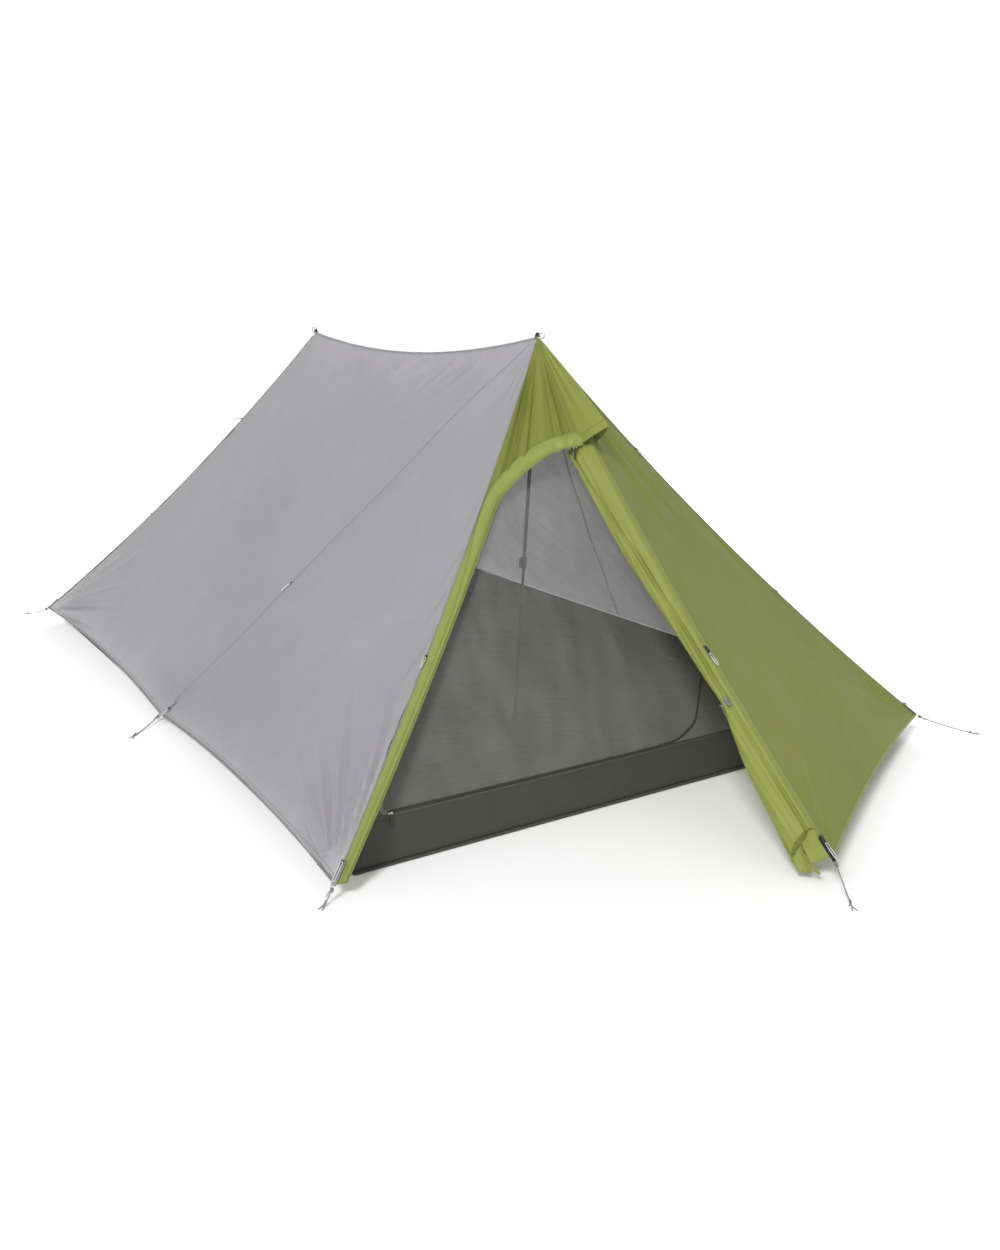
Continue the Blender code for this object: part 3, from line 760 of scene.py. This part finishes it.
def build_closed_panel(name, side, end, seed):
    def surface(s, t):
        return vestibule_surface(side, end, s, t)

    cloth = Cloth(surface, eased(130, 0.5), PANEL_TOP + (1 - PANEL_TOP) * eased(170, 0.4), (side, end, 0.8))
    s, t = cloth.u, cloth.v
    inside = smooth(0, 0.15, s) * smooth(0, 0.15, 1 - s)
    middle = surface(0.5, 0.45)
    amount = swell(cloth, 0.0026, seed) * inside * smooth(0.05, 0.3, t) * (1 - 0.6 * smooth(0.85, 1, t))
    amount += creases(cloth, corner(side, end), middle, 0.62, 0.0050, 9, seed + 1, 0.6)
    amount += creases(cloth, nose(end), middle, 0.42, 0.0032, 7, seed + 2, 0.5)
    amount += creases(cloth, apex(end), surface(0.5, 1.0), 0.85, 0.0050, 9, seed + 3, 0.5)
    for k, place in enumerate((0.45, 0.60, 0.72, 0.84)):
        foot = surface(0.12, min(place + 0.2, 0.98))
        amount += creases(cloth, side_seam(side, end, place), foot, 0.24, 0.0036, 2, seed + 10 + k, 0.2,
                          0.006, 0.005)
    cloth.push(amount * smooth(0.0, 0.02, s) * smooth(0.0, 0.02, 1 - s))
    make_sheet(f"{name}_cloth", [cloth.points], GREEN_FLY, (name,))
    hem = cloth.tape(steps(160), np.ones(160), 0.008, 0.0009, 0.0, 0.0009, -0.0034 * side * end)
    make(f"{name}_hem", [hem], SEAM_GREEN, sharp=35)
    return cloth


def build_front_left():
    """The open side of the front: a gable of pleats over the arch, and the strip beside it."""
    low = steps(15, 0, ARCH_START)
    ss = np.concatenate((low, ARCH_START + (1 - ARCH_START) * steps(150)[1:]))
    knee = ARCH_LEVEL + ARCH_DROP

    def over_arch(s, v):
        return vestibule_surface(-1, -1, s, PANEL_TOP + (arch(s) - PANEL_TOP) * v)

    def beside_door(s, t):
        return vestibule_surface(-1, -1, s / ARCH_START * strip_edge(t), t)

    gable = Cloth(over_arch, ss, steps(80), (-1, -1, 0.8))
    gable.push(pleats(gable.u, PANEL_TOP + (arch(gable.u) - PANEL_TOP) * gable.v, 5, PLEAT_DEPTH))
    strip = Cloth(beside_door, low, knee + (1 - knee) * steps(170), (-1, -1, 0.8))
    strip.push(pleats(strip.u, strip.v, 5, PLEAT_DEPTH) * (1 - smooth(knee, knee + 0.10, strip.v)))
    make_sheet("front_gable_cloth", [gable.points], GREEN_FLY, ("front_gable",),
               places=3)
    # The strip is the same cloth as the gable; its lighter green is painted light
    make_sheet("front_strip_cloth", [strip.points], GREEN_PAINTED_LIGHT, ("front_door_strip",),
               places=3)
    return gable, strip


def relax(values, rounds):
    """Evens out a path while its ends stay where they are."""
    values = values.copy()
    for _ in range(rounds):
        values[1:-1] = (values[:-2] + 2 * values[1:-1] + values[2:]) / 4
    return values


def door_edges(gable, strip, rear):
    """Lines up the door's edge and over its arch, at the open front and the closed rear."""
    up = steps(130, 1, ARCH_LEVEL + ARCH_DROP)
    over = steps(110, ARCH_START, 0.90)
    beside = strip.at(np.full(130, ARCH_START), up)
    above = gable.at(over, np.ones(110))
    closed = rear.at(np.concatenate((strip_edge(up), over[1:])), np.concatenate((up, arch(over[1:]))))
    return [np.concatenate((a, b[1:])) for a, b in zip(beside, above)], closed


def build_storm_flap(word, line, gap, zip_look):
    """The turned band that covers the zip all round the door."""
    path, normal = relax(line[0], 12), unit(relax(line[1], 60))
    across = beside(path, normal)
    if across[-20] @ UP < 0:
        across = -across
    reach = np.linalg.norm(path - path[0], axis=-1)
    width = 0.012 + 0.032 * smooth(0.78, 1.12, reach)
    x = steps(15)
    bulge = 0.0018 + 0.0058 * np.sin(math.pi * x ** 0.8) - 0.0030 * (1 - smooth(0, 0.12, x))
    rng = np.random.default_rng(9)
    crease = np.zeros((len(path), len(x)))
    for k in range(6):
        crease += np.sin(reach[:, None] * rng.uniform(30, 90) + x[None] * rng.uniform(1, 5) + k)
    crease *= 0.00045 * smooth(1.0, 1.2, reach)[:, None] * (1 - smooth(1.32, 1.42, reach))[:, None]
    outer = relax(path + across * (width + gap)[:, None], 160)
    points = (lerp((path + across * gap)[:, None], outer[:, None], x[None])
              + normal[:, None] * (bulge[None] + crease)[..., None])
    make_sheet(f"{word}_storm_flap", [points], GREEN_PAINTED_LIGHT, (), places=3)
    edge = tube_shape(points[:, 0] + normal * 0.0004, 0.0013, 6)
    fold = ribbon_shape(points[:, -1] + normal * 0.0002, across, normal, 0.0026, 0.0006)
    make(f"{word}_flap_edges", [edge, fold], SEAM_GREEN)
    zip_path = path + normal * 0.0009 - across * 0.0015
    make(f"{word}_door_zip", [ribbon_shape(zip_path, across, normal, 0.0045, 0.0007)], zip_look,
         sharp=35)


def trim_vestibule(end, word, panels):
    """Felled seams where the sheets meet, and the stitched facing beside the centre seam."""
    run = 0.012 + 0.984 * steps(200)
    shapes = []
    for side in (-1, 1):
        path = side_seam(side, end, run)
        across = unit(vestibule_surface(side, end, np.full(200, 0.02), run) - path)
        outward = beside(path, across)
        outward *= np.sign(outward @ point(side, end, 1))[:, None]
        shapes.append(ribbon_shape(path + outward * 0.0006, across, outward, 0.0045, 0.0010, 0.0010))
    make(f"{word}_side_seams", shapes, SEAM_GREY, sharp=35)
    path = centre_seam(end, run)
    outward = beside(path, ASIDE)
    outward *= np.sign(outward[:, 2])[:, None]
    seams = [ribbon_shape(path + outward * 0.0006, ASIDE, outward, 0.006, 0.0012, 0.0015)]
    down = 0.26 + 0.735 * steps(180)
    facings = []
    for panel in panels:
        facings.append(panel.tape(1 - 0.0085 / (HALF_WIDTH * down), down, 0.016, 0.0008, 0.0006, 0.0004))
        seams.append(panel.tape(1 - 0.0150 / (HALF_WIDTH * down), down, 0.0012, 0.0005, 0.0012, 0.0002))
    make(f"{word}_centre_seam", seams, SEAM_GREEN, sharp=35)
    make(f"{word}_centre_facing", facings, GREEN_PAINTED_LIGHT, sharp=35)


def build_hood(end, word):
    """The stiffened beak over the vent, with piping along its rim."""
    tip = point(0, end * HOOD_TIP_Y, HOOD_TIP_Z)
    head = point(0, end * 0.785, 1.199)

    def surface(c, v):
        left = vestibule_surface(-1, end, np.full(c.shape, 0.887), 0.012 + 0.221 * v)
        border = left + point(0, end * 0.0016, 0.0022)
        border[..., 0] *= -np.sign(c + 1e-9)
        crest = lerp(head, tip, v) + point(0, end * 0.55, 0.83) * (0.004 * np.sin(math.pi * v))[..., None]
        swollen = (0.004 * v * np.sin(math.pi * np.abs(c)) * np.sign(c))[..., None] * ASIDE
        return lerp(border, crest, (1 - np.abs(c)) ** 0.95) + swollen

    cloth = Cloth(surface, steps(61, -1), eased(60, 0.3), (0, end, 0.8))
    fold = 0.0014 * np.sin(13 * np.abs(cloth.u) + 2 * cloth.v) * np.sin(math.pi * cloth.v ** 0.8)
    cloth.push(fold * smooth(0, 0.2, 1 - np.abs(cloth.u)))
    make_sheet(f"{word}_vent_hood", [cloth.points], GREEN_ROLL_PAINTED_LIGHT, (f"{word}_hood",),
               places=3)
    rim, row = cloth.points[:, -1], cloth.points[:, -6]
    normal = cloth.normals[:, -6]
    shapes = [tube_shape(rim, 0.0019, 8),
              ribbon_shape(row + normal * 0.0002, unit(rim - row), normal, 0.0016, 0.0005)]
    for k in (0, -1):
        shapes.append(tube_shape(cloth.points[k], 0.0011, 6))
    make(f"{word}_hood_piping", shapes, SEAM_GREEN)


trim_fly(build_fly())
front_right = build_closed_panel("front_right_panel", 1, -1, 40)
rear_left = build_closed_panel("rear_left_panel", -1, 1, 50)
rear_right = build_closed_panel("rear_right_panel", 1, 1, 60)
gable, strip = build_front_left()
front_edge, rear_edge = door_edges(gable, strip, rear_right)
build_storm_flap("front", front_edge, -0.0015, SEAM_GREEN)
build_storm_flap("rear", rear_edge, 0.0020, ZIP_TAPE)
trim_vestibule(-1, "front", (front_right,))
trim_vestibule(1, "rear", (rear_left, rear_right))
for end, word in ENDS:
    build_hood(end, word)


# Rolled door -------------------------------------------------------------------------------
def roll_size(t):
    """Reach of the roll beside the seam, and half its thickness."""
    return np.interp(t, ROLL[:, 0], ROLL[:, 1]), np.interp(t, ROLL[:, 0], ROLL[:, 2])


def build_rolled_door():
    """The door cloth, gathered in flattened turns beside the centre seam."""
    t = ROLL[0, 0] + (MOUTH - ROLL[0, 0]) * eased(190, 0.25)
    reach, half, groove = (relax(value, 12)[:, None]
                           for value in (*roll_size(t), np.interp(t, GROOVE[:, 0], GROOVE[:, 1])))
    turns = 7
    angle = np.concatenate((np.linspace(0, 1.15 * math.pi, 120, endpoint=False),
                            steps(190, 1.15 * math.pi, turns * 2 * math.pi)))[None]
    size = 1 - 0.80 * angle / angle.max()
    spin = math.pi - angle
    front = smooth(-0.1, 0.6, np.sin(spin))
    down = t[:, None]
    lobes = 1 + 0.035 * np.cos(3 * angle + 9 * down) * smooth(1.5, 3.0, angle)
    wide = (reach - ROLL_GAP) / 2
    sideways = ROLL_GAP + wide * (1 + size * lobes * np.cos(spin))
    rise = half * (size * lobes * np.sin(spin) - ROLL_SINK)
    first = angle < math.pi / 2
    sideways = np.where(first, (ROLL_GAP + wide) * (1 - np.cos(angle)), sideways)
    rise = np.where(first, half * (1 - ROLL_SINK) * np.sin(angle), rise)
    dip = np.exp(-((sideways - groove) / 0.0045) ** 2) * np.minimum(0.007, 0.55 * half)
    fold = 0.0010 * np.sin(sideways / 0.0026 + 4 * np.sin(6 * down) + 9 * down)
    fold += 0.0009 * np.sin(sideways / 0.0048 - 17 * down)
    rise = rise + size * front * (fold * smooth(0.0, 0.012, sideways) - dip)
    slant = (0.022 * sideways / 0.088 - 0.010 * size * np.sin(spin)) * smooth(0.86, MOUTH, down)
    points = on_roll(down + slant, sideways, rise)
    make_sheet("front_rolled_cloth", [points], GREEN_ROLL_PAINTED_LIGHT, ("front_rolled_door",),
               0.68,
               edges=[tube_shape(points[-1, :230], 0.0011, 6)])


def on_roll(t, sideways, rise):
    """World points beside the centre seam, from distances in the frame of the roll."""
    seam, _, aside, outward = roll_frame(t)
    return seam + aside * np.asarray(sideways)[..., None] + outward * np.asarray(rise)[..., None]


def build_door_tails():
    """The hem corner of the door that hangs from the mouth of the roll, and its pull tape."""
    x, y = np.meshgrid(steps(30), steps(20), indexing="ij")
    t = 0.940 + 0.048 * x + y * (0.012 - 0.001 * x)
    wide = 0.076 + 0.006 * x - y * (0.032 - 0.007 * x)
    rise = -0.006 - 0.006 * x ** 2 + 0.006 * (2 * y - 1) ** 2 + 0.0012 * np.sin(11 * y + 5 * x)
    sheet = on_roll(t, wide, rise)
    edge = np.concatenate((sheet[:, 0], sheet[-1, 1:-1], sheet[::-1, -1]))
    make("door_hem_corner", [grid_shape(sheet), tube_shape(edge, 0.0010, 6)], GREEN_ROLL_PAINTED_LIGHT)
    x = steps(26)
    tail = on_roll(0.972 + 0.034 * x, 0.052 - 0.008 * x, -0.002 - 0.004 * x)
    side = roll_frame(0.98)[2]
    make("door_pull_tape", [ribbon_shape(tail, side, beside(tail, side), 0.008, 0.0012, 0.0004)],
         SEAM_GREEN, sharp=35)


def build_seam_flap():
    """The band of door cloth beside the centre seam that runs on behind the roll to the hem."""
    t, y = np.meshgrid(steps(120, 0.30, 0.994), steps(12), indexing="ij")
    wide = 0.030 * y + 0.016 * y * smooth(0.90, 0.99, t)
    rise = 0.0006 - 0.010 * y ** 1.3 * (1 - 0.5 * smooth(0.9, 0.99, t)) + 0.0006 * np.sin(9 * y + 30 * t) * y
    sheet = on_roll(t - 0.006 * y * smooth(0.90, 0.99, t), wide, rise)
    make("door_seam_band", [grid_shape(sheet), tube_shape(sheet[-1], 0.0011, 6)], GREEN_ROLL_PAINTED_LIGHT)


def build_tie():
    """The thin cord drawn round the roll, its knot and tails, and the lashing of its toggle."""
    reach, half = roll_size(TIE_STATION)
    wide = (reach - ROLL_GAP) / 2
    seam, along, aside, outward = roll_frame(TIE_STATION)
    centre = seam + aside * (ROLL_GAP + wide) - outward * half * ROLL_SINK
    around = centre + circle(60, aside * (wide + 0.0012), outward * (half + 0.0002))
    shapes = [tube_shape(around + along * k, TIE_R, 8) for k in (0, 0.0022)]
    knot = centre + aside * (wide + 0.002) + outward * 0.004
    shapes += knot_shapes(knot, outward, 0.0020, 3)
    x = steps(14)[:, None]
    for lean in (-0.004, 0.007):
        shapes.append(tube_shape(knot + along * 0.030 * x + aside * (lean * x - 0.004 * x * x)
                                 + outward * 0.004 * np.sin(2.4 * x), TIE_R, 6))
    make("door_tie_cord", shapes, CORD)
    middle = seam + aside * (ROLL_GAP + reach) / 2 + outward * (half * (1 - ROLL_SINK) + TOGGLE_R + 0.0012)
    ring = middle + circle(60, aside * (TOGGLE_R + 0.0008), outward * (TOGGLE_R + 0.0008))
    make("toggle_lashing", [tube_shape(ring + along * k, TIE_R, 8) for k in (-0.0009, 0.0009)], CORD,
         body="toggle")


build_rolled_door()
build_door_tails()
build_seam_flap()
build_tie()


# Inner tent --------------------------------------------------------------------------------
def build_bathtub():
    """The floor and its four walls as one sheet, with a seam round the floor."""
    flat = steps(90, -1)
    x, y = np.meshgrid(flat * FLOOR_X, flat * FLOOR_Y, indexing="ij")
    ripple = 0.0006 * np.sin(x * 31 + 3 * np.sin(y * 9)) * np.sin(y * 27) + 0.0006
    lift = np.where((np.abs(x) < FLOOR_X) & (np.abs(y) < FLOOR_Y), ripple, 0.0)
    sheets = [np.stack((x, y, FLOOR_Z + lift), -1)]
    run, up = np.meshgrid(flat, steps(14), indexing="ij")
    level = FLOOR_Z + (WALL_HEIGHT - FLOOR_Z) * up - 0.004 * (1 - run ** 2) * up
    reach = (FLOOR_X + (WALL_TOP_X - FLOOR_X) * up, FLOOR_Y + (WALL_TOP_Y - FLOOR_Y) * up)
    rng = np.random.default_rng(14)
    for axis in (0, 1):
        for side in (-1, 1):
            wobble = np.zeros_like(run)
            for _ in range(5):
                wobble += np.sin(run * rng.uniform(8, 40) + up * rng.uniform(-3, 3) + rng.uniform(0, 6.28))
            wobble *= 0.0016 * np.sin(math.pi * up) * (1 - run ** 8)
            pair = [side * (reach[axis] + wobble), run * reach[1 - axis]]
            sheets.append(np.stack((*(pair if axis == 0 else pair[::-1]), level), -1))
    make_sheet("bathtub_cloth", sheets, BATHTUB,
               ("inner_floor", "inner_front_wall", "inner_rear_wall", "inner_left_wall", "inner_right_wall"),
               5.9, weld=0.0004)
    around = [point(x * FLOOR_X, y * FLOOR_Y, 0.0009) for x, y in ((-1, -1), (1, -1), (1, 1), (-1, 1))]
    shapes = []
    for a, b in zip(around, around[1:] + around[:1]):
        path = lerp(a, b, steps(60))
        out = unit((a + b) * point(1, 1, 0))
        shapes.append(ribbon_shape(path + out * 0.004, out, UP, 0.014, 0.0022, 0.0008))
    make("bathtub_seam", shapes, BINDING, sharp=35)


def end_mesh_point(end, x, z):
    """A point on an end mesh, or on the wall below it, from its height and place across."""
    fall = np.minimum((INNER_APEX_Z - z) / (INNER_APEX_Z - WALL_HEIGHT), 1.0)
    below = np.maximum(WALL_HEIGHT - z, 0) / WALL_HEIGHT
    out = INNER_APEX_Y + (WALL_TOP_Y - INNER_APEX_Y) * fall + (FLOOR_Y - WALL_TOP_Y) * below
    return np.stack((x, end * out, z), -1)


def build_inner_mesh():
    for end, word in ENDS:
        def surface(u, v, end=end):
            return end_mesh_point(end, (2 * u - 1) * (APEX_HALF + (WALL_TOP_X - APEX_HALF) * v),
                                  INNER_TOP + (WALL_HEIGHT - INNER_TOP) * v)

        cloth = Cloth(surface, steps(90), steps(90), (0, end, 0.5))
        u, v = cloth.u, cloth.v
        slack = 0.004 * np.sin(math.pi * u) * np.sin(math.pi * v)
        fold = 0.0022 * np.sin(u * 44 + 2 * np.sin(v * 5)) + 0.0012 * np.sin(u * 97 - 3 * v)
        fold *= smooth(0.35, 1, v) * np.sin(math.pi * u) ** 0.5
        cloth.push(-slack + fold * (1 - smooth(0.95, 1, v)))
        add_net(word, cloth)
    for side, word in SIDES:
        def surface(u, v, side=side):
            top = inner_ridge(u) + point(side * 0.009, 0, -0.009)
            foot = np.stack((np.full(u.shape, side * WALL_TOP_X), (2 * u - 1) * WALL_TOP_Y,
                             np.full(u.shape, WALL_HEIGHT)), -1)
            return bow(top, foot, v, INNER_SAG, point(-0.7 * side, 0, -0.7))

        cloth = Cloth(surface, steps(120), steps(60), (side, 0, 0.8))
        u, v = cloth.u, cloth.v
        fold = 0.002 * np.sin(u * 60 + 3 * np.sin(v * 4)) * np.sin(math.pi * u) * np.sin(math.pi * v)
        cloth.push(-np.abs(fold))
        add_net(word, cloth)


def add_net(word, cloth):
    make_sheet(f"inner_{word}_net", [cloth.points], NETTING, (f"inner_{word}_mesh",))


def end_edge_x(z):
    """Half the width of an end mesh at a height."""
    return APEX_HALF + (WALL_TOP_X - APEX_HALF) * (INNER_TOP - z) / (INNER_TOP - WALL_HEIGHT)


def rounded(corners, rounds, count):
    """A line through corners with each inner corner turned in a soft bend."""
    path = [lerp(a, b, np.linspace(0, 1, count, endpoint=False)) for a, b in zip(corners, corners[1:])]
    return relax(np.concatenate(path + [corners[-1:]]), rounds)


def on_end_mesh(end, flat, lift):
    """A path on an end mesh from its places across and up, with the directions across and out."""
    outward = unit(point(0, end * (INNER_APEX_Z - WALL_HEIGHT), WALL_TOP_Y - INNER_APEX_Y))
    path = end_mesh_point(end, flat[:, 0], flat[:, 1]) + outward * lift
    return path, beside(path, outward), outward


def build_inner_trim():
    """Tapes along the edges of the end meshes, and the D of the front door's zip."""
    for end, word in ENDS:
        shapes = []
        for side in (-1, 1):
            ends = np.array((INNER_APEX_Z - 0.02, WALL_HEIGHT + 0.004))
            x = side * (end_edge_x(ends) - 0.008)
            corners = np.array(((x[0], ends[0]), (x[1], ends[1]), (side * 0.30, ends[1])))
            laid = on_end_mesh(end, rounded(corners, 10, 60)[:66], 0.0012)
            shapes.append(ribbon_shape(*laid, 0.012, 0.0012))
        x = steps(90, -WALL_TOP_X, WALL_TOP_X)
        path = np.stack((x, np.full(90, end * (WALL_TOP_Y + 0.0014)),
                         WALL_HEIGHT - 0.003 - 0.004 * (1 - (x / WALL_TOP_X) ** 2)), -1)
        binding = ribbon_shape(path, UP, point(0, end, 0), 0.006, 0.0012)
        make(f"inner_{word}_trim", shapes, TRIM, sharp=35)
        make(f"inner_{word}_binding", [binding], BINDING, sharp=35)
    path, across, normal = on_end_mesh(-1, rounded(DOOR_ZIP, 60, 40), 0.0020)
    coil = path + normal * 0.0012
    make("inner_door_zip", [ribbon_shape(path, across, normal, 0.0055, 0.0008), tube_shape(coil, 0.0011, 6)],
         ZIP_TAPE, sharp=35)


build_bathtub()
build_inner_mesh()
build_inner_trim()


# Hardware ----------------------------------------------------------------------------------
def dress(material, words, *parts):
    """Gives a finish to the part's own pieces, named by where they are and what they are."""
    for word in words:
        for part in parts:
            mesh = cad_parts[f"{word}_{part}"].data
            mesh.materials.clear()
            mesh.materials.append(material)


for _, word in ENDS:
    dress(TUBE, [word], "pole_lower", "pole_upper")
    dress(PLASTIC, [word], "lock_clamp", "lock_lever", "pole_tip")
    dress(RUBBER, [word], "pole_foot")
    dress(WEBBING, [word], "apex_cap", "nose_tab")
dress(SEAM_GREY, ("front_left", "front_right", "rear_left", "rear_right", "left_side", "right_side"), "tab")
dress(METAL, ("inner", "front", "rear"), "door_slider")
dress(DARK_CORD, ("inner", "front", "rear"), "door_pull")
dress(TOGGLE, ["door_tie"], "toggle")


def strap_loop(place, along, outward, strap, loop, width=0.009):
    """A short webbing strap sewn on at a place, and the reflective loop it holds."""
    along = unit(along)
    outward = unit(outward - along * (outward @ along))
    across = np.cross(outward, along)
    x = steps(8)[:, None]
    path = place + along * strap * x + outward * (0.0012 + 0.0022 * x)
    webbing = ribbon_shape(path, across, outward, width, 0.0014, 0.0006)
    turn = np.linspace(-0.5 * math.pi, 1.5 * math.pi, 44)
    reach = np.where((turn > 0) & (turn < math.pi), loop, 0.0)
    out = np.sin(turn) * width * 0.36 + relax(reach, 3)
    ring = (place + along * (strap * 0.8 + out)[:, None]
            + across * (width * 0.36 * np.cos(turn))[:, None]
            + outward * (0.0040 + 0.003 * np.maximum(out, 0) / max(loop, 0.001))[:, None])
    return webbing, tube_shape(ring, 0.0011, 7)


def build_straps():
    """Reflective loops on the pegging tabs, and the small straps sewn into the seams."""
    straps, loops = [], []

    def sew(*args, **settings):
        webbing, ring = strap_loop(*args, **settings)
        straps.append(webbing)
        loops.append(ring)

    for side, _ in SIDES:
        for end in (-1, 1):
            path = side_seam(side, end, (0.965, 0.992))
            lift = point(side * 0.8, end * 0.5, 0.9)
            sew(path[0] + unit(lift) * 0.0035, path[1] - path[0], lift, 0.010, 0.044)
            for t in ((0.28, 0.62) if end > 0 else (0.63,) if side < 0 else (0.26, 0.63)):
                path = side_seam(side, end, (t, t + 0.02))
                lean = path[1] - path[0] + (end > 0) * point(side * 0.03, 0, 0.012)
                sew(path[0], lean, lift, 0.012, 0.026, width=0.008)
        low = side_surface(side, 0.4875, (0.975, 0.995))
        sew(low[0] + point(side, 0, 1) * 0.003, low[1] - low[0], point(side * 1.2, 0, 1), 0.016, 0.040)
        lean, bow_in = PANEL_SEAMS[side]
        v = np.array((0.608, 0.635))
        seam = side_surface(side, lean * v / (v + bow_in), v)
        sew(seam[0], seam[1] - seam[0], point(side, 0, 0.9), 0.012, 0.030, width=0.008)
    for end in (-1, 1):
        for t, raised, strap, loop in ((0.636, 0.0012, 0.036, 0.028), (0.962, 0.0035, 0.034, 0.042)):
            path = centre_seam(end, (t, t + 0.02))
            lift = point(0.35, end, 1.06)
            sew(path[0] + unit(lift) * raised, path[1] - path[0], lift, strap, loop, width=0.013)
    make("seam_straps", straps, WEBBING, sharp=35)
    make("reflective_loops", loops, REFLECTOR)
    ring = apex(-1) + point(0.006, -0.014, 0.004) + 0.0085 * circle(40, unit(point(0.6, -0.8, 0)),
                                                                    point(0, -0.35, 0.93))
    make("front_apex_ring", [tube_shape(ring, 0.0013, 8)], METAL)
    ties = []
    for lean in (-0.007, 0.006):
        ring = circle(40, 0.0075 * point(0.3 * np.sign(lean), 0.8, 0.2), 0.0105 * UP)
        ties.append(tube_shape(apex(1) + point(lean, 0.006, 0.009) + ring, 0.0011, 8))
    make("rear_apex_ties", ties, CORD)


build_straps()


def build_inner_hangers():
    """Short tapes with hooks that hold the apexes of the inner tent under the fly."""
    for end, word in ENDS:
        low = point(0, end * (INNER_APEX_Y + 0.004), INNER_APEX_Z - 0.006)
        high = point(0, end * (HALF_RIDGE + 0.012), RIDGE_HEIGHT - 0.022)
        path = lerp(low, high, steps(16))
        strip = ribbon_shape(path, ASIDE, beside(path, ASIDE), 0.010, 0.0012)
        hook = low + point(0, end * 0.003, -0.006) + 0.007 * circle(30, ASIDE, UP)
        make(f"{word}_inner_hanger", [strip, tube_shape(hook, 0.0014, 8)], TRIM, sharp=35)


build_inner_hangers()


# Stage -------------------------------------------------------------------------------------
def build_stage():
    data = bpy.data.meshes.new("ground")
    wide = 40.0
    corners = [(x * wide, y * wide, -0.001) for x, y in ((-1, -1), (1, -1), (1, 1), (-1, 1))]
    data.from_pydata(corners, [], [(0, 1, 2, 3)])
    n = Nodes("pale_ground")
    shade = n.tint((0.965, 0.965, 0.965), n.noise(0.6, 2, 0.995, 1.005))
    data.materials.append(n.finish(n.add("BsdfPrincipled", {"Base Color": shade, "Roughness": 0.9})))
    placed("ground", data)


def add_lamp(name, kind, towards, power, place=(0, 0, 0), **settings):
    """A lamp whose light falls along a direction."""
    data = bpy.data.lights.new(name, kind)
    data.energy = power
    for key, value in settings.items():
        setattr(data, key, value)
    lamp = placed(name, data)
    lamp.location = place
    lamp.rotation_euler = (math.atan2(math.hypot(towards[0], towards[1]), -towards[2]), 0,
                           math.atan2(towards[1], towards[0]) - math.pi / 2)


def build_lights():
    """A white room that is dimmer overhead, a broad sun from the left front, a lamp behind."""
    world = bpy.data.worlds.new("studio")
    world.use_nodes = True
    tree = world.node_tree
    coords = tree.nodes.new("ShaderNodeTexCoord")
    parts = tree.nodes.new("ShaderNodeSeparateXYZ")
    fade = tree.nodes.new("ShaderNodeMapRange")
    tree.links.new(coords.outputs["Generated"], parts.inputs[0])
    tree.links.new(parts.outputs[2], fade.inputs["Value"])
    for key, value in (("From Min", 0.28), ("From Max", 0.45), ("To Min", 1.0), ("To Max", OVERHEAD)):
        fade.inputs[key].default_value = value
    sky = tree.nodes["Background"]
    sky.inputs[0].default_value = (1.0, 1.0, 1.0, 1.0)
    tree.links.new(fade.outputs[0], sky.inputs[1])
    bpy.context.scene.world = world
    add_lamp("sun", "SUN", (0.62, 0.42, -0.66), 2.4, angle=math.radians(16))
    add_lamp("back", "AREA", (-3.4, -4.6, -2.2), 260, (3.6, 4.6, 2.8), shape="DISK", size=2.4)
    bpy.context.scene.view_settings.view_transform = "Standard"


build_stage()
build_lights()
